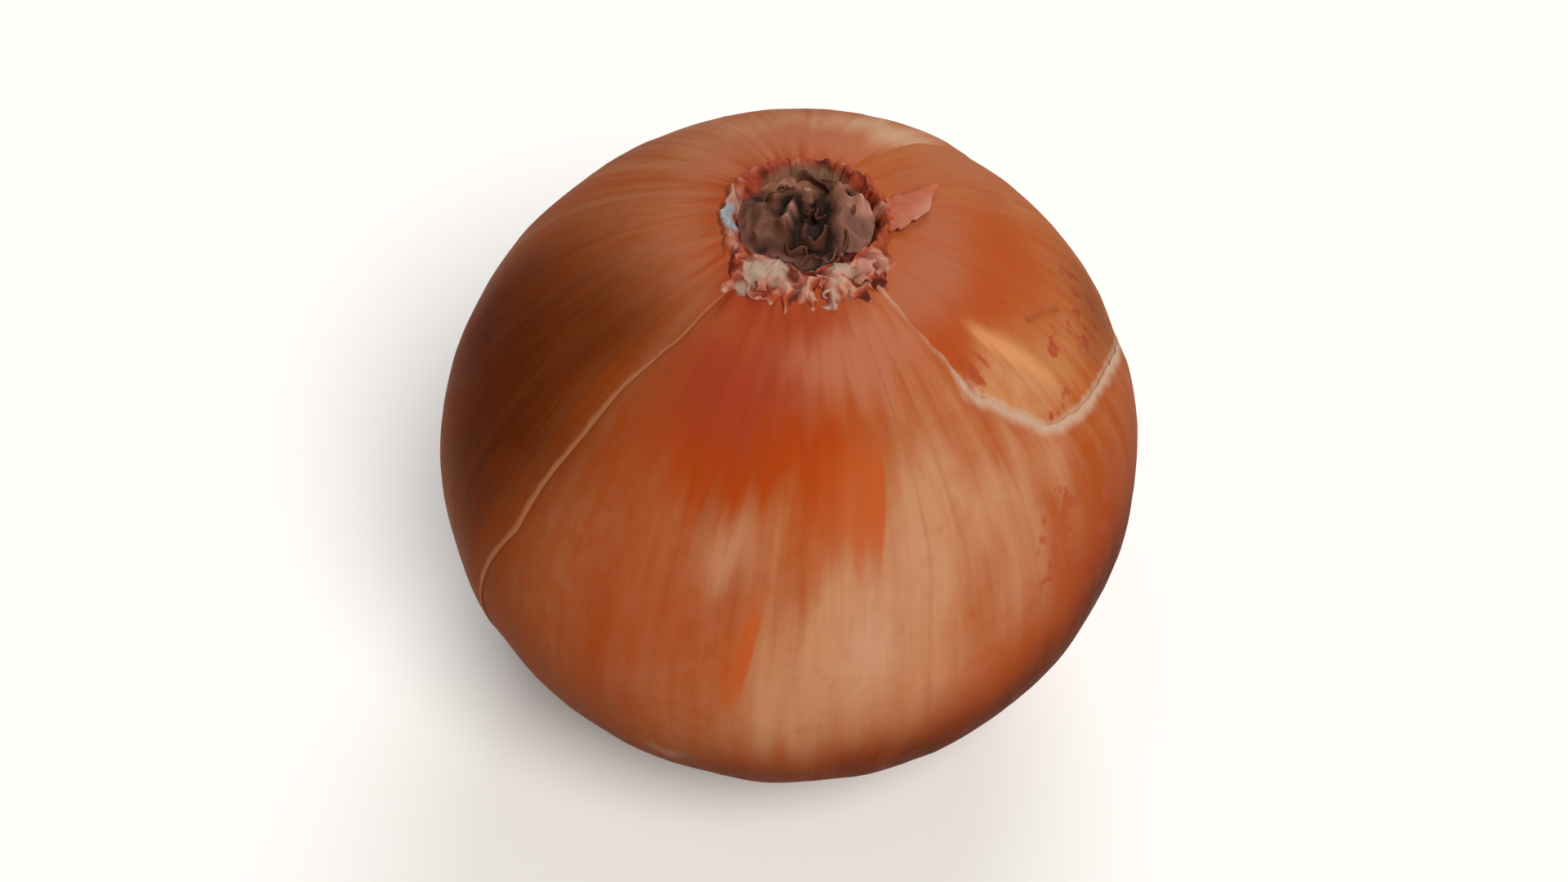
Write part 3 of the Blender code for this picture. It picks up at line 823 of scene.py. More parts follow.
# the torn edge's pale band: thin beside the neck, wide low down, gone on the far side
band = 0.25 + 0.4 * bell(fall - 18, 4) + smooth((fall - 28) / 12)
keep_values(
    skin,
    grain=grain,
    vein=vein,
    tear=tear,
    tear_width=0.05 + band * smooth((138 - window_turn) / 30),
    lap=around_mm + 0.42 * (1 - smooth((fall - 22) / 24)) + 0.4 * smooth((fall - 84) / 12),
    pale=paint(turn, running, PALE),
    deep=paint(turn, running, DEEP),
    haze=paint(turn, running, HAZE),
    bloom=paint(turn, running, BLOOM_AND_SHEEN),
    crimson=paint(turn, running, CRIMSON) + 0.8 * by_neck,
    red_blots=paint(turn, fall, RED_BLOTS),
    shade=paint(turn, fall, SHADE) + belly,
)
for number in range(len(TONGUES)):
    keep_values(skin, **tongue_values(number, turn, fall, running))
cut_away(skin, "tear")
thicken(skin, SKIN_THICKNESS)
outer_finish, outer_patterns = skin_finish(
    "onion outer scale, dried",
    {"ground": "a24c1c", "light": "ba845e", "rosy": "a8583a", "vein": "7e3810", "fibre": "924a1c"},
    (
        ("deep", "a43c08", SOFT_STAIN),
        ("crimson", "9a381e", SOFT_STAIN),
        ("haze", "ae664a", SOFT_STAIN),
        ("red_blots", "a65030", SHARP_STAIN),
        ("bloom", "c49a82", SOFT_STAIN),
        # painted shade in dark brown
        ("shade", "582206", EVEN_STAIN),
    ),
)

# %% [markdown]
# The tongues lie over the skin's colour, and so do its pale edges. Along the tear, and as a hair line on
# the free edge, the skin has lost its coloured face and shows its pith. Shreds of that pith stay on the
# inner skin too, so the bulb gets the same pale fringe on its side of the tear.


# %% Tongues and torn edges
TONGUE_COLOUR, PITH_COLOUR, HAIR_COLOUR = "b4501e", "bea088", "a87452"


def add_edges(finish, patterns):
    """Lays the tongues and the pale torn edges over the finished skin colour."""
    tree = finish.node_tree
    base_colour = tree.nodes["Principled BSDF"].inputs["Base Color"]
    carried = {
        name: add(tree, "ShaderNodeAttribute", result="Fac", attribute_name=name)
        for name in ("tear", "tear_width", "lap")
    }
    wander = blend_of(tree, patterns, (("mottle", 1.2), ("fibre", 0.5)), carried["tear"])
    torn = add(tree, "ShaderNodeMath", (wander, carried["tear_width"]), operation="DIVIDE")
    torn = add(tree, "ShaderNodeMapRange", (torn, 0.1, 1.35, 1.0, 0.0), **SOFT_RAMP)
    wide = add(tree, "ShaderNodeMapRange", (carried["tear_width"], 0.05, 1.0, 0.1, 0.85))
    torn = add(tree, "ShaderNodeMath", (torn, wide), operation="MULTIPLY")
    layers = []
    for number in range(len(TONGUES)):
        side = add(tree, "ShaderNodeAttribute", result="Fac", attribute_name=f"tongue_side_{number}")
        side = blend_of(tree, patterns, (("fibre", 0.6),), side)
        sharp = add(tree, "ShaderNodeMapRange", (side, -0.1, 0.2, 0.0, 0.85))
        strength = add(tree, "ShaderNodeAttribute", result="Fac", attribute_name=f"tongue_{number}")
        strength = add(tree, "ShaderNodeMath", (sharp, strength), operation="MULTIPLY")
        layers.append((TONGUE_COLOUR, strength))
    hair = blend_of(tree, patterns, (("mottle", 0.8),), carried["lap"])
    hair = add(tree, "ShaderNodeMapRange", (hair, 0.3, 0.85, 0.5, 0.0), **SOFT_RAMP)
    layers += [(PITH_COLOUR, torn), (HAIR_COLOUR, hair)]
    tree.links.new(lay_over(tree, base_colour.links[0].from_socket, layers), base_colour)


add_edges(outer_finish, outer_patterns)
hand_in(skin, "outer_skin", outer_finish)

# %% The same fringe on the bulb
turn, fall = place_of(corners_of(bulb))
tear = distance_from(on_bulb(turn, fall), on_bulb(torn_curve[:, 0], torn_curve[:, 1])) / MM
tear_width = 0.1 + 0.6 * smooth((fall - 28) / 12) * smooth((138 - turn) / 30)
keep_values(bulb, tear=tear, tear_width=tear_width, lap=np.ones(turn.shape))
add_edges(inner_finish, inner_patterns)
hand_in(bulb, "bulb", inner_finish)

# %% [markdown]
# ## Crumpled tissue
#
# Round the neck the scales have torn, dried and curled. From a step away that is a lumpy collar, cream and
# pink on its crests and red in its folds, so its colour follows its height: the mesh carries a value called
# rise, and the finish reads it, darkening the folds as painted shade. Where one tuft has a colour of its
# own, a mark in the mesh lays it over that; the mark called dark is painted shade in hollows and pits. It is
# dull, because broken tissue scatters light.


# %% The finish of torn tissue
TISSUE_IOR, TISSUE_GLOSS = 1.45, 0.25
TISSUE_PATTERNS = (
    # name, waves in a metre, detail: crumples of about 2.4 mm, and crumbs of about 0.4 mm
    ("coarse", 420.0, 4.0),
    ("fine", 2400.0, 3.0),
)
# dark is painted shade in hollows and pits
TISSUE_MARKS = (
    ("white", "aa8f7d"), ("pink", "b8806c"), ("tan", "805c48"), ("dark", "1e0d09"), ("blue", "969c9e"),
    ("skin", "a04a22"),
)


def tissue_finish(name, low, middle, high, roughness=0.7):
    """Dull broken tissue whose colour follows the height of its crumples, darker low down as painted shade.
    """
    made, tree, shader = new_finish(name, roughness, TISSUE_IOR)
    shader.inputs["Specular IOR Level"].default_value = TISSUE_GLOSS
    place = add(tree, "ShaderNodeTexCoord", result="Object")
    rise = add(tree, "ShaderNodeAttribute", result="Fac", attribute_name="rise")
    patterns = {
        pattern: add(tree, "ShaderNodeTexNoise", {"Vector": place, "Scale": scale, "Detail": detail})
        for pattern, scale, detail in TISSUE_PATTERNS
    }
    rise = blend_of(tree, patterns, (("coarse", 0.7), ("fine", 0.15)), rise)
    layers = [
        (middle, add(tree, "ShaderNodeMapRange", (rise, 0.05, 0.5), **SOFT_RAMP)),
        (high, add(tree, "ShaderNodeMapRange", (rise, 0.5, 0.95), **SOFT_RAMP)),
    ]
    for mark, hex_value in TISSUE_MARKS:
        amount = add(tree, "ShaderNodeAttribute", result="Fac", attribute_name=mark)
        amount = add(tree, "ShaderNodeMapRange", (amount, 0.15, 0.9), **SOFT_RAMP)
        layers.append((hex_value, amount))
    bump = {"Height": patterns["fine"], "Strength": 0.35, "Distance": 0.15 * MM}
    tree.links.new(lay_over(tree, colour(low), layers), shader.inputs["Base Color"])
    tree.links.new(add(tree, "ShaderNodeBump", bump), shader.inputs["Normal"])
    return made


# %% [markdown]
# ## The collar of torn skin ends
#
# The collar is a ring-shaped sheet that comes out of the pit, goes over its rim and lies on the shoulder. It
# is wide in front, where more of it has curled over. At the back and the sides it is narrow and calm, and
# takes the skin's own colour towards its edge. The tufts that make this onion's collar its own are rows in
# a table, and noise fills in between them.

# %% The collar's tufts
TUFTS = (
    # turn, distance, half width, half depth and rise in mm, then how white, pink and dark, where dark is
    # painted shade in a hollow
    (-23, 8.9, 2.6, 1.3, 0.4, 1.5, 0.1, 0), (-34, 9.9, 0.9, 0.8, 0.3, 0.9, 0.2, 0),
    (22, 9.3, 1.4, 1.2, 0.4, 1.4, 0.3, 0), (40, 9.5, 1.4, 1.0, 0.4, 0.5, 1.2, 0),
    (-7, 9.4, 0.5, 1.3, -0.7, 0.2, 0, 0.6), (-33, 11.8, 1.2, 1.1, 0.3, 0.8, 0.3, 0),
    (-22, 11.0, 1.0, 0.8, -0.5, 0, 0.1, 0.5), (-21, 12.8, 0.9, 0.7, 0.4, 0.8, 0.6, 0),
    (-2, 10.5, 0.8, 1.3, 0.4, 0.6, 0.9, 0), (7, 10.8, 0.7, 1.0, -0.8, 0, 0, 0.7),
    (7, 12.8, 1.5, 0.6, 0.6, 1.2, 0.5, 0), (14, 11.8, 0.6, 1.2, 0.6, 1.1, 0.4, 0),
    (22, 12.0, 0.7, 0.9, 0.3, 0.4, 0.8, 0), (29, 10.8, 0.6, 0.9, -0.4, 0, 0.2, 0.5),
    (-59, 10.8, 1.4, 0.7, 0.6, 0.4, 0.8, 0), (-46, 13.3, 1.0, 0.6, 0.3, 0, 0, 0),
    (-41, 12.7, 0.5, 0.9, 0.4, 0.1, 0.6, 0), (-36, 13.8, 0.7, 0.6, -0.5, 0, 0, 0.1),
    (-51, 11.7, 1.4, 0.6, -0.9, 0, 0, 0.35), (-62, 9.2, 1.3, 1.0, 0.2, 0.3, 0.9, 0),
    (66, 10.0, 1.1, 1.0, -0.7, 0, 0, 1.0), (52, 9.6, 0.8, 1.3, 0.5, 0.3, 1.0, 0),
    (60, 11.4, 1.4, 0.5, 0.3, 0.1, 0.8, 0), (-74, 8.5, 1.3, 0.8, 0.3, 0.7, 0.7, 0),
    (-106, 8.0, 1.5, 0.8, 0.4, 0.9, 0.5, 0), (-120, 8.6, 1.4, 0.8, 0.5, 0, 0.4, 0),
    (-139, 8.4, 1.2, 0.7, 0.5, 0, 0.5, 0), (100, 8.2, 1.3, 0.8, 0.5, 0.2, 1.0, 0),
    (120, 8.6, 0.7, 0.7, -0.5, 0, 0, 0.5), (150, 9.0, 2.0, 0.8, 0.3, 0, 0.6, 0),
)
print(len(TUFTS), "tufts")

# %% The collar's width and its section
COLLAR_INNER, COLLAR_OUTER, COLLAR_FRONT, COLLAR_LEFT = 7.2 * MM, 10.4 * MM, 2.6 * MM, 1.7 * MM
COLLAR_DIP, COLLAR_CREST, COLLAR_EDGE = -1.2 * MM, 1.6 * MM, 0.5 * MM
COLLAR_THICKNESS, TATTER_THICKNESS = 0.2 * MM, 0.22 * MM
COLLAR_FACING = 4  # the turn of the middle of its wide front
INWARD_LOBES = ((-30, 17, 1.1), (9, 12, 0.4), (40, 18, 1.1))  # turn, half width in degrees, reach in mm
turn, across = np.meshgrid(np.linspace(0, 360, 440, endpoint=False), np.linspace(0, 1, 60))
ring = grain_of(turn, 0)
front = smooth((np.cos(np.radians(turn - COLLAR_FACING)) - 0.35) / 0.45)
over_window = smooth((turn - 42) / 6) * smooth((148 - turn) / 6)
curled_left = bell(degrees_past(turn, -47), 14)
inner = COLLAR_INNER + 0.7 * MM * hills(ring, 9.0, 3, 3.0)
for at_turn, wide, reach in INWARD_LOBES:
    inner -= reach * MM * bell(degrees_past(turn, at_turn), wide)
ragged = 1.3 * MM * hills(ring, 4.5, 2, 8.0) + 0.2 * MM * front * hills(ring, 1.6, 2, 4.0)
outer = COLLAR_OUTER + COLLAR_FRONT * front + COLLAR_LEFT * curled_left + ragged * (0.5 + 0.5 * front)
distance = inner + (outer - inner) * across
dip = COLLAR_DIP + 1.0 * MM * front
lift = dip + (COLLAR_CREST - dip) * smooth(across / (0.36 - 0.08 * front))
lift -= (0.35 * smooth((across - 0.4) / 0.4) + 0.4 * over_window) * MM
edge_from = 0.4 + 0.4 * front
lift += (COLLAR_EDGE - COLLAR_CREST) * smooth((across - edge_from) / (1 - edge_from))
smooth_points = on_bulb(turn, fall_at(distance), lift)
print("collar is up to", round(float((outer - inner).max() / MM), 1), "mm wide")

# %% [markdown]
# Folds are made from noise with its sign removed, which gives sharp valleys between rounded crests, as in
# crumpled paper. The points also slip sideways a little, so that the crests overhang as curls do.

# %% The collar's folds
FOLD_HEIGHT, CRUMB_HEIGHT, BACK_WAVES, TUFT_HEIGHT = 0.5 * MM, 0.18 * MM, 0.45 * MM, 0.9 * MM
SLIP, TUFT_SLIP = 0.8 * MM, 0.9
calm = front + (1 - front) * smooth((0.9 - across) / 0.4)
strength = smooth(across / 0.3) * (0.4 + 0.6 * front) * calm
fold = 0.5 - np.abs(2.4 * hills(smooth_points, 2.6 * MM, 2, 1.0))
small = hills(smooth_points, 1.0 * MM, 3, 6.0)
slip = np.stack([hills(smooth_points, 2.2 * MM, 2, shift) for shift in (21.0, 23.0)])
marks = np.zeros((4, *turn.shape))
for at_turn, at_distance, wide, deep, *effects in TUFTS:
    aside = np.radians(degrees_past(turn, at_turn)) * at_distance + TUFT_SLIP * slip[1]
    outwards = distance / MM - at_distance + TUFT_SLIP * slip[0]
    cover = np.exp(-((aside / wide) ** 2) - (outwards / deep) ** 2)
    marks += cover * np.array(effects)[:, None, None]
lift = lift + strength * (FOLD_HEIGHT * fold + CRUMB_HEIGHT * small)
lift += BACK_WAVES * (1 - front) * hills(ring, 3.2, 2, 2.0) * smooth(across / 0.3) * calm
lift += TUFT_HEIGHT * marks[0] * smooth(across / 0.15) * smooth((1 - across) / 0.12)
strength *= smooth((1 - across) / 0.2)
distance = distance + SLIP * slip[0] * strength
turn_moved = turn + np.degrees(SLIP * slip[1] * strength / distance)
collar = grid_piece("neck_collar", on_bulb(turn_moved, fall_at(distance), lift), wrap=True)
print("folds stand up to", round(float(lift.max() / MM), 1), "mm above the bulb")

# %% The collar's colours
# one bluish tuft on the left, and the tan inner wall at the back
blue = bell(degrees_past(turn, -86), 12) * bell(across - 0.3, 0.2)
tan = bell(degrees_past(turn, 178), 42) * bell(across - 0.12, 0.16)
rough_spots = 0.85 + 0.8 * hills(smooth_points, 1.3 * MM, 2, 13.0)
rise = 0.4 + 0.1 * front + (0.25 + 0.35 * front) * (fold - 0.1) + 0.25 * small + 0.25 * marks[0]
back_skin, edge_skin = (1 - front) * smooth((across - 0.35) / 0.35), 0.75 * smooth((across - 0.86) / 0.14)
keep_values(
    collar,
    rise=rise,
    white=marks[1] * rough_spots,
    pink=marks[2] * rough_spots,
    # painted shade where the collar goes down into the pit, and in its hollow tufts
    dark=marks[3] + 0.9 * smooth((0.12 - across) / 0.1),
    blue=1.8 * blue * rough_spots,
    tan=1.1 * tan,
    skin=np.maximum(back_skin, edge_skin),
)
thicken(collar, COLLAR_THICKNESS)
# dried flesh and skin, dull: cream on the crests, rusty on the slopes and dark red in the folds, where the
# darkness is painted shade
tissue = tissue_finish("torn scale ends, dull", "541809", "9e4024", "c0937a")

# %% [markdown]
# ## Tatters
#
# Small curled shavings stand out of the collar's front. They repeat, so Geometry Nodes scatter them: points
# are spread over the collar where its value called room allows, and each gets one of a few curled shapes,
# turned at random and scaled. The seed is fixed, so the onion is the same each time. The few at the sides
# are made darker, as the folds there are.


# %% A curled shape
def tatter_shape(index):
    """A narrow strip that rolls up towards its blunt end; each next one is wider and rolled tighter."""
    along, side = np.meshgrid(np.linspace(0, 1, 15), np.linspace(-1, 1, 7), indexing="ij")
    bend = (2.6 + 0.7 * index) * along
    radius = (0.75 - 0.06 * index) * MM * (1 - 0.25 * along)
    width = (0.5 + 0.12 * index) * MM * np.sqrt(1 - 0.9 * along**4) * (1 + 0.12 * np.sin(8 * along + index))
    forward = radius * (1 - np.cos(bend)) - 0.15 * MM * side**2
    points = np.stack([side * width, forward, radius * np.sin(bend) + 0 * side], axis=-1)
    for axis in range(3):
        points[..., axis] += 0.35 * MM * hills(points, 0.9 * MM, 2, 3.0 * index + 7.0 * axis)
    shape = grid_piece(f"tatter_shape_{index}", points)
    keep_values(shape, rise=0.4 + 0.4 * along, white=(0.3 + 0.2 * index) * along, pink=0.4 + 0.3 * along)
    return thicken(shape, TATTER_THICKNESS)


# %% The tree that scatters shapes
def scatter_tree(name, shapes, finish):
    """Spreads the collection's shapes over the given mesh where its value room is high, and joins them."""
    tree, given, result = new_tree(name, Density=9.0e5, Smallest=0.7, Largest=1.3, Seed=4)
    room = {"Name": "room"}
    room = add(tree, "GeometryNodeInputNamedAttribute", room, result="Attribute", data_type="FLOAT")
    density = add(tree, "ShaderNodeMath", (room, given["Density"]), operation="MULTIPLY")
    where = {"Mesh": given["Geometry"], "Density": density, "Seed": given["Seed"]}
    spread = add(tree, "GeometryNodeDistributePointsOnFaces", where, result="Points")
    shelf = {"Collection": shapes, "Separate Children": True, "Reset Children": True}
    spin = {2: 0.0, 3: 2 * math.pi, "Seed": 5}
    spin = add(tree, "FunctionNodeRandomValue", spin, result=1, data_type="FLOAT")
    up = {"Factor": 1.0, "Vector": spread.node.outputs["Normal"]}
    rotation = {
        0: add(tree, "FunctionNodeAlignRotationToVector", up, axis="Z"),
        1: add(tree, "FunctionNodeAxisAngleToRotation", {0: (0, 0, 1), 1: spin}),
    }
    scale = {2: given["Smallest"], 3: given["Largest"], "Seed": 9}
    placing = {
        "Points": spread,
        "Instance": add(tree, "GeometryNodeCollectionInfo", shelf),
        "Pick Instance": True,
        "Rotation": add(tree, "FunctionNodeRotateRotation", rotation, rotation_space="LOCAL"),
        "Scale": add(tree, "FunctionNodeRandomValue", scale, result=1, data_type="FLOAT"),
    }
    whole = add(tree, "GeometryNodeRealizeInstances", (add(tree, "GeometryNodeInstanceOnPoints", placing),))
    tree.links.new(add(tree, "GeometryNodeSetMaterial", {"Geometry": whole, "Material": finish}), result)
    return tree


# %% A shelf for the shapes
def shelf_of(name, shapes):
    """A collection that holds the shapes to scatter."""
    shelf = bpy.data.collections.new(name)
    bpy.context.scene.collection.children.link(shelf)
    for shape in shapes:
        shelf.objects.link(shape)
        bpy.context.scene.collection.objects.unlink(shape)
    return shelf


def clear_shelf(shelf):
    """Removes the shapes once they have been scattered."""
    for shape in list(shelf.objects):
        bpy.data.objects.remove(shape)
    bpy.data.collections.remove(shelf)


# %% The tatters
tatters = placed("neck_tatters", collar.data.copy())
points = corners_of(tatters)
turn, fall = place_of(points)
distance = np.hypot(points[:, 0] - NECK_SHIFT[0], points[:, 1] - NECK_SHIFT[1])
lift_here = points[:, 2] - on_bulb(turn, fall_at(np.minimum(distance, 20 * MM)))[:, 2]
# there is room on the crests of the front, off the white tufts
in_front = smooth((np.cos(np.radians(turn - COLLAR_FACING)) - 0.55) / 0.3)
room = (0.04 + in_front) * smooth((distance / MM - 9.0) / 1.0) * smooth((13.4 - distance / MM) / 1.0)
off_white = smooth((0.7 - values_of(tatters, "white")) / 0.4)
keep_values(tatters, room=room * (lift_here > 1.1 * MM) * off_white)
shelf = shelf_of("tatter shapes", [tatter_shape(index) for index in range(4)])
run_tree(tatters, scatter_tree("tatters", shelf, tissue), Density=0.9e5, Smallest=0.6, Largest=1.0, Seed=4)
clear_shelf(shelf)
turn, fall = place_of(corners_of(tatters))
at_side = smooth((np.abs(turn + 2) - 30) / 14)
darker = values_of(tatters, "rise") - 0.35 * at_side
tatters.data.attributes["rise"].data.foreach_set("value", darker)
hand_in(collar, "neck_frill", tissue)
hand_in(tatters, "neck_frill", tissue)

# %% [markdown]
# ## The scrap on the bare patch
#
# To the right of the neck one pointed scrap of the outer skin is left. It is a tapering sheet that lies just
# over the inner skin, its edges curled up a little, with one corner drawn out to a raised tip. Its finish is
# the tissue's, a little smoother.

# %% The scrap
SCRAP_START, SCRAP_LENGTH, SCRAP_SLANT, SCRAP_TIP = 8.9 * MM, 6.5 * MM, 1.4 * MM, 0.5 * MM
SCRAP_LIFT, SCRAP_THICKNESS = 1.1 * MM, 0.25 * MM
along, side = np.meshgrid(np.linspace(0, 1, 50), np.linspace(1, -1, 31), indexing="ij")
corner = bell(along - 0.97, 0.12) * smooth((-side - 0.4) / 0.5)
distance = SCRAP_START + SCRAP_LENGTH * along - SCRAP_SLANT * along * smooth((side + 1) / 2)
distance += SCRAP_TIP * corner
half_width = (2.7 - 0.8 * along) * MM * (1 - 0.25 * smooth((along - 0.8) / 0.2))
middle_turn = 93 + 17 * along
ragged = 1 + 0.25 * hills(np.stack([5 * along, 2 * side, 0 * side], -1), 1.0, 3)
scrap_turn = middle_turn - np.degrees(half_width * side * ragged / distance)
lift = SCRAP_LIFT - 0.1 * MM * along + 0.15 * MM * side**2 + 0.35 * MM * corner
lift += 0.3 * MM * hills(on_bulb(scrap_turn, fall_at(distance)), 2.6 * MM, 3)
scrap = grid_piece("neck_scrap", on_bulb(scrap_turn, fall_at(distance), lift))
paler = along * (1 + side)
keep_values(scrap, rise=0.3 + 0.25 * paler + 0.2 * corner, pink=0.2 + 0.3 * paler)
thicken(scrap, SCRAP_THICKNESS)
scrap_tissue = tissue_finish("scrap of scale, dried", "8c3c20", "b05c3c", "c08060", 0.55)
hand_in(scrap, "neck_frill", scrap_tissue)

# %% [markdown]
# ## The neck's core
#
# In the pit stand the ends of the inner leaves, rotted down to dark, leathery folds. The main body is a disc
# of rings whose height comes from placed mounds, pits and crests, with folds over all of it. It is closed
# underneath. Its rims are rosy where they have only dried, and its hollows are painted nearly black as
# shade.

# %% The core's folded surface
CORE_RADIUS, CORE_CREST = 7.5 * MM, 2.6 * MM
MOUNDS = (
    # x, y, reach and rise in mm, where a pit has a rise below 0
    (-4.5, -1.0, 2.5, 1.5), (3.5, 0.4, 3.2, 1.6), (-0.6, -3.2, 1.5, -1.2), (2.9, -3.9, 1.3, -1.0),
    (0.3, 1.0, 1.0, -1.6), (6.2, 2.2, 1.0, 1.3), (-2.0, 5.0, 2.2, 1.0), (3.6, 5.4, 2.2, 0.8),
    (-5.8, 3.0, 1.4, 1.2),
)
CRESTS = (
    # from x, y to x, y, with reach and rise in mm
    (-1.2, 2.6, -2.3, -1.6, 0.8, 2.2), (1.2, 2.2, 3.6, 3.4, 0.6, 1.0), (3.6, 3.4, 6.2, 1.8, 0.6, 1.0),
    (-6.4, 1.0, -4.4, 1.6, 0.6, 0.8),
)


def dabs(x, y, rows):
    """The sum of round soft dabs, each (x, y, reach, strength) in mm, at each place."""
    cover = np.zeros(x.shape)
    for at_x, at_y, reach, strength in rows:
        cover += strength * np.exp(-(((x - at_x) ** 2 + (y - at_y) ** 2) / reach**2))
    return cover


def core_height(x, y):
    """Height of the folded leaf ends above the pit's floor, at a place in mm from its middle."""
    height = dabs(x, y, MOUNDS)
    for from_x, from_y, to_x, to_y, reach, rise in CRESTS:
        length = (to_x - from_x) ** 2 + (to_y - from_y) ** 2
        share = np.clip(((x - from_x) * (to_x - from_x) + (y - from_y) * (to_y - from_y)) / length, 0, 1)
        gap = np.hypot(x - from_x - share * (to_x - from_x), y - from_y - share * (to_y - from_y))
        height += rise * bell(gap, reach)
    spots = np.stack([x, 0.8 * y, 0.3 * height], axis=-1)
    folds = 0.5 - np.sqrt(0.01 + (2.2 * hills(spots, 3.6, 2, 7.0)) ** 2)
    return height + 0.55 * folds + 0.14 * hills(spots, 1.1, 3, 2.0), folds


turn, share = np.meshgrid(np.linspace(0, 360, 260, endpoint=False), np.linspace(0, 1, 74))
reach = CORE_RADIUS / MM * share * (1 + 0.03 * hills(grain_of(turn, 0), 8.0, 2))
x, y = reach * np.sin(np.radians(turn)), -reach * np.cos(np.radians(turn))
height, folds = core_height(x, y)
foot = pit_floor + 0.3 * MM
top = foot + CORE_CREST + height * MM * (1 - 0.5 * smooth((share - 0.85) / 0.15))
top = np.maximum(top, foot + 0.5 * MM)
rings = [np.stack([x * MM, y * MM, top], axis=-1)]
# three more rings go down the side and close the underside
for scale, level in ((0.9, foot + 0.3 * MM), (0.85, foot), (0.0, foot)):
    rings.append(np.stack([scale * x[-1:] * MM, scale * y[-1:] * MM, np.full_like(x[-1:], level)], axis=-1))
points = np.concatenate(rings)
points[..., :2] += NECK_SHIFT
core = grid_piece("neck_core_folds", points, wrap=True)
print("core is", round(float(2 * reach.max()), 1), "mm across")

# %% The core's colours
ROSY_DABS = ((6.2, 2.2, 1.1, 1.1), (-2.2, -1.0, 1.0, 0.6), (-1.6, 1.0, 1.0, 0.6))
# painted shade in the pits
DARK_DABS = ((0.8, -3.4, 2.24, 0.9), (0.3, 0.8, 1.22, 0.7))
paler = 0.55 * smooth((y - 3) / 2) + dabs(x, y, ((-4.5, -1.0, 2.45, 0.05),))
right_side = smooth((x - 2.0) / 2.5) * smooth((4.5 - y) / 2)
front_rim = smooth((-y - 3.5) / 2) * smooth((np.abs(x - 1) - 1) / 2)
left_rim = smooth((-x - 5.0) / 1.5)
rosy = dabs(x, y, ROSY_DABS) + 0.42 * right_side + 0.35 * front_rim + 0.35 * left_rim
closing_rings = [(0, 3), (0, 0)]
keep_values(
    core,
    rise=np.pad(0.25 + 0.4 * folds + 0.14 * height + paler, closing_rings),
    pink=np.pad(rosy, closing_rings),
    dark=np.pad(dabs(x, y, DARK_DABS), closing_rings),
)
weld(core)
# leathery and dull: tan on its crests, and nearly black in its folds as painted shade
dead_leaf = tissue_finish("shrivelled leaf, dull", "23130b", "563123", "90614a", 0.75)
hand_in(core, "neck_core", dead_leaf)


# %% [markdown]
# Thin ends of leaves stand up in the folds, each a curved strip with a ragged top. Three are slender teeth,
# one of them tall and pale. They are joined to one mesh, since they grew as one with the core.


# %% Standing leaf ends
LEAF_THICKNESS, TOOTH_THICKNESS = 0.22 * MM, 0.3 * MM
LEAF_ENDS = (
    # turn, distance from the middle in mm, degrees round, rise in mm
    (95, 5.4, 120, 1.9), (170, 6.1, 110, 2.4), (-130, 5.6, 90, 2.2), (-70, 6.0, 80, 1.6),
    (60, 3.3, 150, 1.9), (-100, 2.7, 140, 1.5), (15, 6.2, 60, 1.2), (140, 2.2, 90, 1.6),
    (-25, 4.6, 60, 1.0),
)
LEAF_TEETH = (
    # turn, distance, width and rise in mm, and how pale
    (177, 3.1, 1.7, 3.9, 1.0), (-120, 2.1, 1.1, 2.6, 0.45), (110, 6.3, 1.2, 2.2, 0.3),
)


def leaf_end(index, turn, distance, sweep, rise):
    """A curved standing strip, ragged along its top."""
    around, up = np.meshgrid(np.linspace(-0.5, 0.5, 60), np.linspace(1, 0, 14))
    ragged = 0.75 + 0.6 * hills(np.stack([6 * around, 0 * around + index, 0 * around], -1), 1.0, 3)
    ends = smooth((0.5 - np.abs(around)) / 0.12)
    away = distance + 0.45 * np.sin(11 * around + index) - 0.35 * up**2 + 0.25 * up * np.sin(13 * around)
    angle = np.radians(turn + sweep * around)
    level = foot / MM + 1.2 + (rise * ragged * ends + 0.9) * up
    points = np.stack([away * np.sin(angle), -away * np.cos(angle), level], -1) * MM
    leaf = grid_piece(f"leaf_end_{index}", points)
    # painted shade at their feet among the folds
    keep_values(leaf, rise=0.15 + 0.45 * up, dark=0.3 * (1 - up))
    return thicken(leaf, LEAF_THICKNESS)


def leaf_tooth(index, turn, distance, width, rise, paleness):
    """A slender standing point."""
    side, up = np.meshgrid(np.linspace(-1, 1, 9), np.linspace(1, 0, 24))
    wide = width / 2 * (1 - 0.8 * up**1.4)
    angle = np.radians(turn) + side * wide / distance
    away = distance - 0.3 * up**2 + 0.15 * side**2
    level = foot / MM + 1.4 + rise * up
    points = np.stack([away * np.sin(angle), -away * np.cos(angle), level], -1) * MM
    tooth = grid_piece(f"leaf_tooth_{index}", points)
    keep_values(tooth, rise=0.4 + paleness * up, white=0.5 * paleness * up)
    return thicken(tooth, TOOTH_THICKNESS)


def join(name, parts):
    """One object from several."""
    bpy.context.view_layer.objects.active = parts[0]
    with bpy.context.temp_override(active_object=parts[0], selected_editable_objects=parts):
        bpy.ops.object.join()
    parts[0].name = name
    return parts[0]


parts = [leaf_end(index, *row) for index, row in enumerate(LEAF_ENDS)]
parts += [leaf_tooth(index, *row) for index, row in enumerate(LEAF_TEETH)]
leaves = join("neck_leaf_ends", parts)
points = corners_of(leaves)
points[:, :2] += NECK_SHIFT
leaves.data.vertices.foreach_set("co", points.ravel())
hand_in(leaves, "neck_core", dead_leaf)

